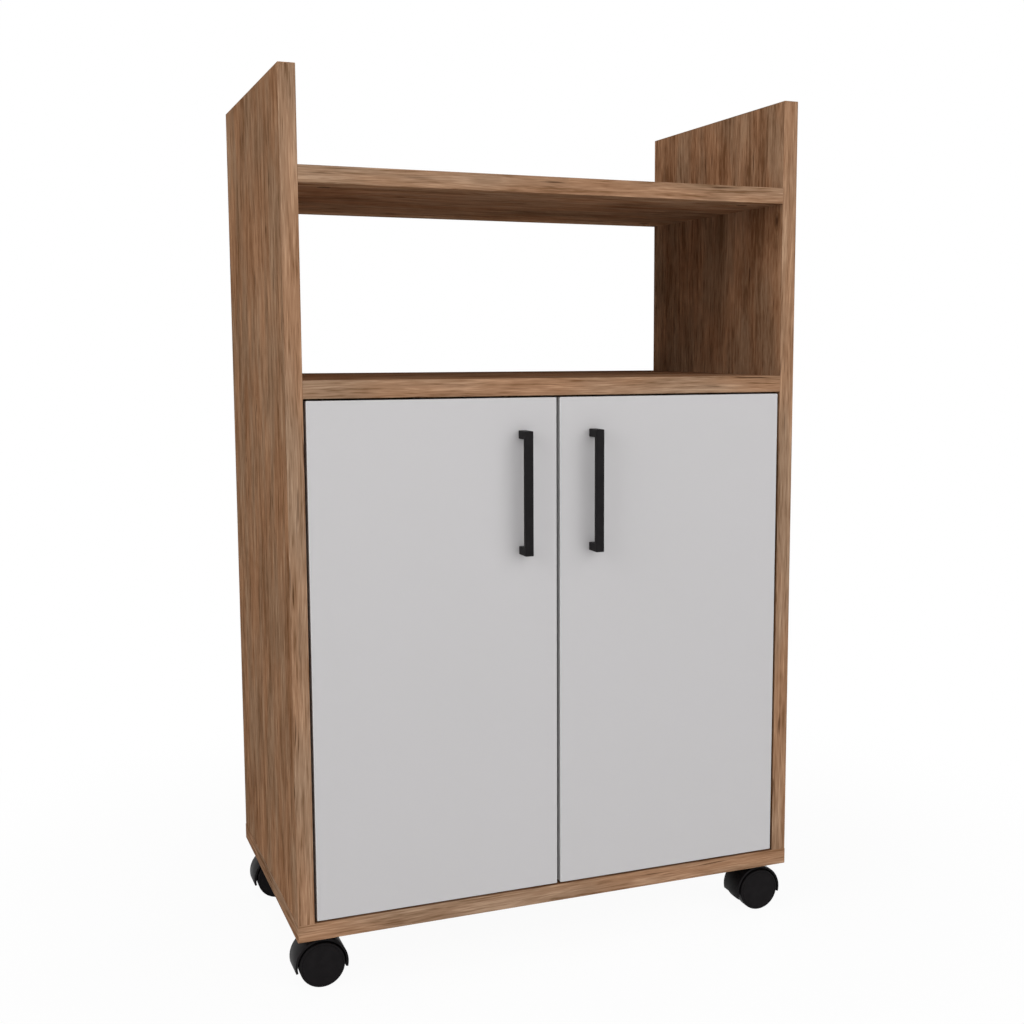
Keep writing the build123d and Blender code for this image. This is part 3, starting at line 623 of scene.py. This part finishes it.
def reshaped(shape, x, y, z):
    """A geometry with its corners at new places."""
    inputs = {"Geometry": shape, "Position": vector(x, y, z)}
    return result(tree_of(shape), "GeometryNodeSetPosition", inputs)


def rod(top, length, radius, end_radius=None, sides=20):
    """A round bar or a cone that hangs down from a height."""
    end_radius = radius if end_radius is None else end_radius
    inputs = {"Vertices": sides, "Radius Top": radius, "Radius Bottom": end_radius, "Depth": length}
    shape = result(tree_of(length), "GeometryNodeMeshCone", inputs)
    return moved(shape, translation=vector(z=minus(top, length)))


def dressed(inside, shape, out):
    """Ends a tree: real geometry, smooth but for its sharp edges, in its material."""
    tree = out.id_data
    shape = result(tree, "GeometryNodeRealizeInstances", {"Geometry": shape})
    inputs = {"Geometry": shape, "Shade Smooth": True}
    shape = result(tree, "GeometryNodeSetShadeSmooth", inputs, domain="FACE")
    sharp = maths("GREATER_THAN", result(tree, "GeometryNodeInputMeshEdgeAngle"), SHARP_ANGLE)
    inputs = {"Geometry": shape, "Selection": sharp, "Shade Smooth": False}
    shape = result(tree, "GeometryNodeSetShadeSmooth", inputs, domain="EDGE")
    inputs = {"Geometry": shape, "Material": inside["Material"]}
    send(out, Geometry=result(tree, "GeometryNodeSetMaterial", inputs))


def placed(inside, shape, out, turn=True):
    """Ends a tree with a shape on each place, along that place's axis, and turned at random if asked."""
    tree = out.id_data
    inputs = {"Name": "axis"}
    axis = result(tree, "GeometryNodeInputNamedAttribute", inputs, "Attribute", data_type="FLOAT_VECTOR")
    rotation = result(tree, "FunctionNodeAlignRotationToVector", {"Vector": axis}, axis="Z")
    if turn:
        inputs = {2: 0.0, 3: math.tau, 8: inside["Seed"]}
        angle = result(tree, "FunctionNodeRandomValue", inputs, 1, data_type="FLOAT")
        spin = result(tree, "FunctionNodeAxisAngleToRotation", {"Axis": Z, "Angle": angle})
        inputs = {"Rotation": rotation, "Rotate By": spin}
        rotation = result(tree, "FunctionNodeRotateRotation", inputs, rotation_space="LOCAL")
    inputs = {"Points": inside["Places"], "Instance": shape, "Rotation": rotation}
    dressed(inside, result(tree, "GeometryNodeInstanceOnPoints", inputs), out)


def button(radius, height, squareness, dish=0.0, sides=32):
    """A round button with a soft shoulder: its top is at zero, and its flat underside a height below."""
    tree = tree_of(radius)
    rings = 14
    tiny = 1e-6
    ball = result(tree, "GeometryNodeMeshUVSphere", {"Segments": sides, "Rings": rings, "Radius": 1.0})
    x, y, z = position(tree)
    level = vectors("LENGTH", vector(x, y))
    power = maths("DIVIDE", 2.0, squareness)
    out_share = maths("POWER", level, power)
    level = maths("MAXIMUM", level, tiny)
    stretch = maths("DIVIDE", times(out_share, radius), level)
    rise_share = maths("POWER", maths("MAXIMUM", z, 0.0), power)
    hollow = times(minus(1.0, times(out_share, out_share)), dish)
    hollow = times(hollow, rise_share)
    top = minus(times(minus(rise_share, 1.0), height), hollow)
    shape = reshaped(ball, times(x, stretch), times(y, stretch), top)
    return result(tree, "GeometryNodeMergeByDistance", {"Geometry": shape, "Distance": SAME_PLACE})


def thread(bottom, length, core, crest, pitch):
    """A three-sided ridge that winds round a core from a height upwards."""
    tree = tree_of(length)
    turns = maths("DIVIDE", length, pitch)
    inputs = {"Resolution": 14, "Rotations": turns, "Start Radius": core, "End Radius": core,
              "Height": length}
    helix = result(tree, "GeometryNodeCurveSpiral", inputs)
    inputs = {"Resolution": 3, "Radius": minus(crest, core)}
    ridge = result(tree, "GeometryNodeCurvePrimitiveCircle", inputs)
    inputs = {"Curve": helix, "Profile Curve": ridge, "Fill Caps": True}
    shape = result(tree, "GeometryNodeCurveToMesh", inputs)
    return moved(shape, translation=vector(z=bottom))


def make_screw_set():
    """Pan-headed screws with a cross recess, a thread and a point, one on each place."""
    tree, inside, out = shape_group("screw_set", "Places", {
        "Head Radius": 3.5 * MM, "Head Height": 1.5 * MM, "Squareness": 3.4,
        "Shank Radius": 1.75 * MM, "Shank Length": 14 * MM, "Point Length": 3 * MM,
        "Core Share": 0.74, "Thread Share": 0.94, "Thread Pitch": 1.6 * MM,
        "Recess Length": 3.6 * MM, "Recess Width": 0.9 * MM, "Recess Depth": 0.9 * MM, "Recess Taper": 0.55,
        "Seed": 0})
    # The cross recess, cut into the head
    head = button(inside["Head Radius"], inside["Head Height"], inside["Squareness"])
    deep = times(inside["Recess Depth"], 2.0)
    arms = [
        result(tree, "GeometryNodeMeshCube", {"Size": vector(inside[long], inside[wide], deep)})
        for long, wide in (("Recess Length", "Recess Width"), ("Recess Width", "Recess Length"))
    ]
    x, y, z = position(tree)
    floor_level = times(inside["Recess Depth"], -1.0)
    narrow = rise(z, floor_level, 0.0, inside["Recess Taper"], 1.0)
    cross = reshaped(joined(*arms), times(x, narrow), times(y, narrow), z)
    inputs = {"Mesh 1": head, "Mesh 2": cross, "Self Intersection": True}
    cut = result(tree, "GeometryNodeMeshBoolean", inputs, operation="DIFFERENCE", solver="EXACT")

    # Each length starts a little inside the one before it
    lap = 0.1 * MM
    point_ease = 0.02 * MM
    start_share = -0.8
    core = times(inside["Shank Radius"], inside["Core Share"])
    straight = minus(inside["Shank Length"], inside["Point Length"])
    start = times(inside["Head Height"], start_share)
    foot = minus(times(inside["Head Height"], -1.0), straight)
    shank = rod(start, minus(start, foot), core, sides=16)
    point = rod(plus(foot, lap), plus(inside["Point Length"], lap),
                minus(core, point_ease), 0.0, sides=16)
    wound = times(straight, inside["Thread Share"])
    winding = thread(foot, wound, core, inside["Shank Radius"], inside["Thread Pitch"])
    placed(inside, joined(cut, shank, point, winding), out)
    return tree


def make_cam_bolt_set():
    """Cam bolts: a thread, a long shank, a thin neck and the head that the cam draws in."""
    tree, inside, out = shape_group("cam_bolt_set", "Places", {
        "Head Radius": 3.4 * MM, "Head Length": 3 * MM, "Squareness": 3.0,
        "Neck Radius": 2 * MM, "Neck Length": 4 * MM, "Shank Radius": 3 * MM, "Shank Length": 30 * MM,
        "Thread Radius": 2.5 * MM, "Thread Length": 11 * MM, "Core Share": 0.76, "Thread Share": 0.92,
        "Thread Pitch": 2 * MM, "Seed": 0})
    lap = 0.3 * MM
    head = button(inside["Head Radius"], inside["Head Length"], inside["Squareness"], sides=24)
    level = minus(lap, inside["Head Length"])
    neck = rod(level, plus(inside["Neck Length"], lap), inside["Neck Radius"])
    level = minus(level, inside["Neck Length"])
    shank = rod(level, plus(inside["Shank Length"], lap), inside["Shank Radius"], sides=28)
    level = minus(level, inside["Shank Length"])
    core = times(inside["Thread Radius"], inside["Core Share"])
    screw_end = rod(level, inside["Thread Length"], core)
    bottom = minus(level, minus(inside["Thread Length"], lap))
    wound = times(inside["Thread Length"], inside["Thread Share"])
    winding = thread(bottom, wound, core, inside["Thread Radius"], inside["Thread Pitch"])
    placed(inside, joined(head, neck, shank, screw_end, winding), out)
    return tree


def make_dowel_set():
    """Fluted dowels with tapered ends."""
    tree, inside, out = shape_group("dowel_set", "Places", {
        "Radius": 4 * MM, "Length": 30 * MM, "Flutes": 16, "Flute Depth": 0.35 * MM,
        "Taper Length": 2 * MM, "Taper": 0.8 * MM, "Seed": 0})
    sides_per_flute = 4.0
    flute_rise = (-0.2, 1.0)
    sides = times(inside["Flutes"], sides_per_flute)
    inputs = {"Vertices": sides, "Side Segments": 15, "Radius": inside["Radius"], "Depth": inside["Length"]}
    bar = result(tree, "GeometryNodeMeshCylinder", inputs)
    x, y, z = position(tree)
    wave = maths("COSINE", times(maths("ARCTAN2", y, x), inside["Flutes"]))
    flute = times(rise(wave, *flute_rise), inside["Flute Depth"])
    half = times(inside["Length"], 0.5)
    from_end = minus(half, maths("ABSOLUTE", z))
    narrow = rise(from_end, 0.0, inside["Taper Length"], inside["Taper"], 0.0)
    new_radius = minus(minus(inside["Radius"], flute), narrow)
    share = maths("DIVIDE", new_radius, inside["Radius"])
    bar = reshaped(bar, times(x, share), times(y, share), minus(z, half))
    placed(inside, bar, out)
    return tree


def make_cover_set():
    """Round press-in covers with a soft rim and a shallow dish."""
    tree, inside, out = shape_group("cover_set", "Places", {
        "Radius": 7.5 * MM, "Thickness": 1.5 * MM, "Squareness": 7.0, "Dish": 0.3 * MM})
    shape = [inside[size] for size in ("Radius", "Thickness", "Squareness", "Dish")]
    placed(inside, button(*shape, sides=48), out, turn=False)
    return tree


def make_wheel_ribs():
    """A wheel with ribs from its hub to its rim, set round its axle."""
    tree, inside, out = shape_group("wheel_ribs", "Wheel", {
        "Count": 8, "Inner Radius": 5 * MM, "Outer Radius": 22 * MM, "Thickness": 1.4 * MM, "Depth": 6 * MM,
        "Centre": (0.0, 0.0, 0.0)})
    reach = minus(inside["Outer Radius"], inside["Inner Radius"])
    middle = plus(inside["Inner Radius"], times(reach, 0.5))
    size = vector(reach, inside["Thickness"], inside["Depth"])
    rib = result(tree, "GeometryNodeMeshCube", {"Size": size})
    rib = moved(rib, translation=vector(middle))
    hub = result(tree, "GeometryNodeMeshLine", {"Count": inside["Count"], "Offset": (0, 0, 0)})
    index = result(tree, "GeometryNodeInputIndex")
    angle = times(maths("DIVIDE", index, inside["Count"]), math.tau)
    spin = result(tree, "FunctionNodeAxisAngleToRotation", {"Axis": Z, "Angle": angle})
    inputs = {"Points": hub, "Instance": rib, "Rotation": spin}
    ribs = result(tree, "GeometryNodeInstanceOnPoints", inputs)
    ribs = moved(ribs, rotation=(math.pi / 2, 0, 0))
    ribs = moved(ribs, translation=inside["Centre"])
    dressed(inside, joined(inside["Wheel"], ribs), out)
    return tree


screw_set = make_screw_set()
cam_bolt_set = make_cam_bolt_set()
dowel_set = make_dowel_set()
cover_set = make_cover_set()
wheel_ribs = make_wheel_ribs()


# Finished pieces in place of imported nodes

WELD = 0.002 * MM
EDGE_ANGLE = math.radians(40)
FLAT_ANGLE = math.radians(0.5)


def add_object(name, data):
    """A new object in the scene."""
    thing = bpy.data.objects.new(name, data)
    bpy.context.scene.collection.objects.link(thing)
    return thing


def baked(base_object):
    """The plain mesh of an object with its modifiers; the object itself is removed."""
    view = bpy.context.evaluated_depsgraph_get()
    evaluated = base_object.evaluated_get(view)
    mesh = bpy.data.meshes.new_from_object(evaluated, preserve_all_data_layers=True, depsgraph=view)
    bpy.data.objects.remove(base_object)
    return mesh


def grown(tree, node, base, inputs):
    """The mesh that a geometry group makes from a base mesh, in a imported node's finish."""
    base_object = add_object(node, base)
    modifier = base_object.modifiers.new(node, "NODES")
    modifier.node_group = tree
    sockets = [item for item in tree.interface.items_tree if item.in_out == "INPUT"]
    identifiers = {item.name: item.identifier for item in sockets}
    modifier[identifiers["Material"]] = slot_finish[slot_of[node]]
    for socket_name, value in inputs.items():
        modifier[identifiers[socket_name]] = value
    return baked(base_object)


def stand_in(node, mesh, ending):
    """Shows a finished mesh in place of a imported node."""
    piece = add_object(f"{node}_{ending}", mesh)
    mesh.materials.clear()
    mesh.materials.append(slot_finish[slot_of[node]])
    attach(piece, body_of[node])
    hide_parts(node)


def welded(node):
    """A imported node's shape with its loose triangles joined."""
    shape = bmesh.new()
    shape.from_mesh(nodes[node].data)
    bmesh.ops.remove_doubles(shape, verts=shape.verts, dist=WELD)
    return shape


def to_mesh(shape, name):
    """A finished bmesh as a mesh."""
    mesh = bpy.data.meshes.new(name)
    shape.to_mesh(mesh)
    shape.free()
    return mesh


def solids_of(node):
    """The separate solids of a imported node, each as a list of its corners."""
    shape = welded(node)
    solids = []
    for first in shape.verts:
        if first.tag:
            continue
        first.tag = True
        waiting = [first]
        corners = []
        while waiting:
            corner = waiting.pop()
            corners.append(corner.co.copy())
            for edge in corner.link_edges:
                other = edge.other_vert(corner)
                if not other.tag:
                    other.tag = True
                    waiting.append(other)
        solids.append(corners)
    shape.free()
    return solids


def limits(corners):
    """The low and the high corner of a box round some points."""
    values = list(zip(*corners))
    return Vector([min(along) for along in values]), Vector([max(along) for along in values])


def fastener(corners):
    """A fastener's place, at the middle of its head's top, its outward axis, and its sizes."""
    end_depth = 0.05 * MM
    least_step = 0.3 * MM
    low, high = limits(corners)
    size = high - low
    long_axis = max(range(3), key=lambda i: size[i])
    middle = (low + high) / 2
    direction = Vector([float(i == long_axis) for i in range(3)])
    radii = [(corner - middle - direction * (corner - middle).dot(direction)).length for corner in corners]
    ends = {}
    for sign, level in ((-1, low[long_axis]), (1, high[long_axis])):
        ends[sign] = max(radius for corner, radius in zip(corners, radii)
                         if abs(corner[long_axis] - level) < end_depth)
    outward = max(ends, key=ends.get)
    top = high[long_axis] if outward > 0 else low[long_axis]
    head = [abs(top - corner[long_axis]) for corner, radius in zip(corners, radii)
            if radius > ends[-outward] + least_step]
    return {"place": middle + direction * (outward * size[long_axis] / 2), "axis": direction * outward,
            "length": size[long_axis], "head_radius": ends[outward], "end_radius": ends[-outward],
            "head_height": max(head, default=0.0), "radius": max(radii)}


def cover(corners):
    """A cam cover's place: the middle of the face that looks into the cabinet, or down."""
    low, high = limits(corners)
    middle = (low + high) / 2
    thin = min(range(3), key=lambda i: high[i] - low[i])
    outward = -1.0 if thin == 2 or middle.x > 0 else 1.0
    axis = Vector([outward * (i == thin) for i in range(3)])
    thickness = high[thin] - low[thin]
    return {"place": middle + axis * thickness / 2, "axis": axis, "thickness": thickness,
            "radius": (high.z - low.z) / 2}


def places_mesh(name, found):
    """A mesh of one point for each fastener found, with its axis."""
    mesh = bpy.data.meshes.new(name)
    mesh.from_pydata([item["place"] for item in found], [], [])
    axes = mesh.attributes.new("axis", "FLOAT_VECTOR", "POINT")
    for spot, item in zip(axes.data, found):
        spot.vector = item["axis"]
    return mesh


def repeated(node, tree, ending, found, inputs):
    """A geometry group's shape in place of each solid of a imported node."""
    stand_in(node, grown(tree, node, places_mesh(node, found), inputs), ending)


def threaded_screws(node, seed, point_length=3.0 * MM, pitch=1.6 * MM):
    """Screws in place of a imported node's plain ones, each as long as it is there."""
    digits = 4
    found = [fastener(corners) for corners in solids_of(node)]
    shape = bmesh.new()
    for length in sorted({round(item["length"], digits) for item in found}):
        same = [item for item in found if round(item["length"], digits) == length]
        sizes = same[0]
        inputs = {
            "Head Radius": sizes["head_radius"], "Head Height": sizes["head_height"],
            "Shank Radius": sizes["end_radius"], "Shank Length": sizes["length"] - sizes["head_height"],
            "Point Length": point_length, "Thread Pitch": pitch, "Seed": seed}
        shape.from_mesh(grown(screw_set, node, places_mesh(node, same), inputs))
    stand_in(node, to_mesh(shape, node), "threaded")


def rounded_copy(node, width):
    """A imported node's own shape with its edges eased."""
    shape = welded(node)
    bmesh.ops.dissolve_limit(shape, angle_limit=FLAT_ANGLE, verts=shape.verts, edges=shape.edges)
    base_object = add_object(f"{node}_base", to_mesh(shape, node))
    bevel = base_object.modifiers.new("edges", "BEVEL")
    bevel.width = width
    bevel.segments = 2
    bevel.limit_method = "ANGLE"
    bevel.angle_limit = EDGE_ANGLE
    bevel.use_clamp_overlap = True
    mesh = baked(base_object)
    mesh.shade_smooth()
    mesh.set_sharp_from_angle(angle=SHARP_ANGLE)
    stand_in(node, mesh, "rounded")


# Castor wheels: a closed outer face with a low dome, a rounded tread and a ribbed hollow by the fork

WHEEL_SIDES = 96
WHEEL_HUB = 6.0 * MM
WHEEL_BORE = 2.55 * MM
WHEEL_RIM = 3.5 * MM
WHEEL_HOLLOW = 8.0 * MM
WHEEL_CAP = 2.0 * MM
WHEEL_LIP = 0.4 * MM
SHOULDER = 1.4 * MM
FACE_STEP = 0.4 * MM
GROOVE_INSET = 2.6 * MM
GROOVE_HALF = 0.5 * MM
GROOVE_FLOOR_HALF = 0.2 * MM
GROOVE_DEPTH = 0.35 * MM
DOME_STEPS = 8
RIB_INSET = 0.8 * MM
RIB_DEPTH = WHEEL_HOLLOW - 1.0 * MM
RIB_LAP = 0.5 * MM


def turned(profile, centre, direction):
    """A closed shape turned round the Y axis. The profile gives distances along it and radii."""
    shape = bmesh.new()
    rings = []
    for along, radius in profile:
        steps = range(WHEEL_SIDES if radius else 1)
        ring = []
        for step in steps:
            angle = math.tau * step / WHEEL_SIDES
            spot = Vector((radius * math.cos(angle), direction * along, radius * math.sin(angle)))
            ring.append(shape.verts.new(centre + spot))
        rings.append(ring)
    for inner, outer in zip(rings, rings[1:]):
        for step in range(WHEEL_SIDES):
            after = (step + 1) % WHEEL_SIDES
            if len(inner) == 1:
                shape.faces.new((inner[0], outer[step], outer[after]))
            elif len(outer) == 1:
                shape.faces.new((inner[step], inner[after], outer[0]))
            else:
                shape.faces.new((inner[step], inner[after], outer[after], outer[step]))
    bmesh.ops.recalc_face_normals(shape, faces=shape.faces)
    return to_mesh(shape, "turned")


def corner_arc(middle, radius, start, end, steps=4):
    """Points on an arc of a profile, from one angle in degrees to another."""
    angles = [math.radians(start + (end - start) * step / steps) for step in range(steps + 1)]
    along, out = middle
    return [(along + radius * math.cos(angle), out + radius * math.sin(angle)) for angle in angles]


def wheel_profile(radius, width):
    """From the bore's end, round the hub, the hollow and the tread, to the middle of the outer face."""
    lip = WHEEL_LIP
    rim = radius - WHEEL_RIM
    face = width - FACE_STEP
    groove = radius - GROOVE_INSET
    dome = groove - GROOVE_HALF
    profile = [(width - WHEEL_CAP, 0), (width - WHEEL_CAP, WHEEL_BORE)]
    profile += [(lip, WHEEL_BORE), (0, WHEEL_BORE + lip), (0, WHEEL_HUB - lip), (lip, WHEEL_HUB)]
    profile += [(WHEEL_HOLLOW - lip, WHEEL_HUB), (WHEEL_HOLLOW, WHEEL_HUB + lip), (WHEEL_HOLLOW, rim - lip)]
    profile += [(WHEEL_HOLLOW - lip, rim), (lip, rim), (0, rim + lip)]
    profile += corner_arc((SHOULDER, radius - SHOULDER), SHOULDER, 180, 90)
    profile += corner_arc((width - SHOULDER - FACE_STEP / 2, radius - SHOULDER), SHOULDER, 90, 10)
    profile += [(face, groove + GROOVE_HALF), (face - GROOVE_DEPTH, groove + GROOVE_FLOOR_HALF)]
    profile += [(face - GROOVE_DEPTH, groove - GROOVE_FLOOR_HALF), (face, dome)]
    for step in range(1, DOME_STEPS + 1):
        share = 1 - step / DOME_STEPS
        profile.append((face + FACE_STEP * (1 - share ** 2), dome * share))
    return profile


def castor_wheel(node, face):
    """One wheel, turned from its profile, with its ribs."""
    low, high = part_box(node)
    radius = (high.z - low.z) / 2
    outward = -1 if face == "front" else 1
    inner_face = high.y if face == "front" else low.y
    centre = Vector(((low.x + high.x) / 2, inner_face, (low.z + high.z) / 2))
    wheel = turned(wheel_profile(radius, high.y - low.y), centre, outward)
    rib_middle = RIB_INSET + RIB_DEPTH / 2
    inputs = {"Inner Radius": WHEEL_HUB - RIB_LAP, "Outer Radius": radius - WHEEL_RIM + RIB_LAP,
              "Depth": RIB_DEPTH, "Centre": centre + Vector((0, outward * rib_middle, 0))}
    stand_in(node, grown(wheel_ribs, node, wheel, inputs), "ribbed")


for end in ENDS:
    for side in SIDES:
        castor = f"{end}_{side}_castor"
        for face in ("front", "back"):
            castor_wheel(f"{castor}_{face}_wheel", face)
        rounded_copy(f"{castor}_fork", 0.35 * MM)
        rounded_copy(f"{castor}_plate", 0.25 * MM)
        rounded_copy(f"{castor}_axle", 0.3 * MM)

# Fasteners
screw_nodes = ("panel_screws", "hinge_screws", "castor_screws", "left_door_screws", "right_door_screws")
for seed, node in enumerate(screw_nodes):
    threaded_screws(node, seed)
for seed, side in enumerate(SIDES, 10):
    threaded_screws(f"{side}_handle_screws", seed, point_length=0.4 * MM, pitch=0.7 * MM)
bolts = [fastener(corners) for corners in solids_of("cam_bolts")]
repeated("cam_bolts", cam_bolt_set, "threaded", bolts, {"Seed": 20})
pegs = [fastener(corners) for corners in solids_of("dowels")]
peg_sizes = {"Radius": pegs[0]["radius"], "Length": pegs[0]["length"]}
repeated("dowels", dowel_set, "fluted", pegs, {**peg_sizes, "Seed": 21})
covers = [cover(corners) for corners in solids_of("cam_covers")]
cover_sizes = {"Radius": max(item["radius"] for item in covers), "Thickness": covers[0]["thickness"]}
repeated("cam_covers", cover_set, "pressed", covers, cover_sizes)

# Everything else of metal and plastic: the built shape with its edges eased
rounded_copy("cam_locks", 0.3 * MM)
rounded_copy("shelf_pins", 0.4 * MM)
rounded_copy("magnetic_catches", 0.5 * MM)
rounded_copy("hinge_mounting_plates", 0.4 * MM)
for side in SIDES:
    rounded_copy(f"{side}_hinge_pins", 0.25 * MM)
    rounded_copy(f"{side}_strike_plate", 0.2 * MM)
    for place in PLACES:
        rounded_copy(f"{side}_{place}_hinge_cup", 0.25 * MM)
        rounded_copy(f"{side}_{place}_hinge_arm", 0.4 * MM)


# Camera, at the photograph's place and angle

FRAME_PIXELS = 1024
focal_pixels = 1367.85
centre_pixels = (574.50, 503.15)
camera_x = -0.5619
camera_before_front = 1.4053
camera_height = 0.6979
look_down = 6.666
look_right = 22.473
camera_data = bpy.data.cameras.new("camera")
camera_data.sensor_width = 36.0
camera_data.lens = focal_pixels / FRAME_PIXELS * camera_data.sensor_width
camera_data.shift_x = 0.5 - centre_pixels[0] / FRAME_PIXELS
camera_data.shift_y = centre_pixels[1] / FRAME_PIXELS - 0.5
camera_data.clip_start = 0.01
camera_data.clip_end = 100.0
camera = add_object("camera", camera_data)
front_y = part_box("bottom_panel")[0].y
camera.location = (camera_x, front_y - camera_before_front, camera_height)
camera.rotation_euler = (math.radians(90 - look_down), 0.0, math.radians(-look_right))
bpy.context.scene.camera = camera


# Floor and world: white to the camera, with the object's shadow kept on the floor

FLOOR_HALF = 20.0
AMBIENT = 0.065


def seen_directly(tree):
    """1 for camera, glossy and transmission rays."""
    rays = tree.nodes.new("ShaderNodeLightPath").outputs
    seen = maths("MAXIMUM", rays["Is Camera Ray"], rays["Is Glossy Ray"])
    return maths("MAXIMUM", seen, rays["Is Transmission Ray"])


def floor_material():
    """White paper to the camera, with a faint shadow, and a darker floor to light that bounces off it."""
    bounced_colour = (0.88, 0.88, 0.88, 1)
    seen_colour = (0.9, 0.9, 0.9, 1)
    white_share = (0.95, 1.0)
    shadow_reach = (0.35, 1.0)
    material = bpy.data.materials.new("studio_floor")
    tree = empty_tree(material)
    place = result(tree, "ShaderNodeTexCoord", output="Object")
    seen = seen_directly(tree)
    paper = result(tree, "ShaderNodeBsdfDiffuse", {"Color": tint(seen, bounced_colour, seen_colour)})
    light = result(tree, "ShaderNodeEmission", {"Color": (1, 1, 1, 1), "Strength": 1.0})
    far = rise(vectors("LENGTH", place), *shadow_reach, *white_share)
    surface = result(tree, "ShaderNodeMixShader", {0: times(far, seen), 1: paper, 2: light})
    send(tree.nodes.new("ShaderNodeOutputMaterial"), Surface=surface)
    return material


floor_mesh = bpy.data.meshes.new("studio_floor")
floor_corners = [(FLOOR_HALF * x, FLOOR_HALF * y, 0) for x, y in ((-1, -1), (1, -1), (1, 1), (-1, 1))]
floor_mesh.from_pydata(floor_corners, [], [(0, 1, 2, 3)])
floor_mesh.materials.append(floor_material())
floor = add_object("studio_floor", floor_mesh)

world = bpy.data.worlds.new("studio")
bpy.context.scene.world = world
world_tree = empty_tree(world)
strength = maths("MAXIMUM", seen_directly(world_tree), AMBIENT)
sky = result(world_tree, "ShaderNodeBackground", {"Color": (1, 1, 1, 1), "Strength": strength})
send(world_tree.nodes.new("ShaderNodeOutputWorld"), Surface=sky)


def soft_box(name, place, aim, size, power):
    """Square area lamp that faces a point."""
    data = bpy.data.lights.new(name, "AREA")
    data.shape = "SQUARE"
    data.size = size
    data.energy = power
    lamp = add_object(name, data)
    lamp.location = place
    lamp.rotation_euler = (Vector(aim) - Vector(place)).to_track_quat("-Z", "Y").to_euler()


# Lamps: place, the point it faces, side length in metres and power in watts
lamps = {
    "key_light": ((1.3, -4.2, 1.7), (0.0, 0.0, 0.5), 6.0, 217.0),
    "side_light": ((-2.8, -1.2, 1.8), (0.0, 0.0, 0.5), 2.4, 48.0),
    "top_light": ((-0.5, -0.1, 2.6), (0.0, 0.0, 0.9), 1.0, 12.0),
    "back_light": ((2.6, 1.9, 0.75), (0.1, 0.1, 0.6), 0.9, 38.0),
}
for name, plan in lamps.items():
    soft_box(name, *plan)

bpy.context.scene.view_settings.view_transform = "Standard"
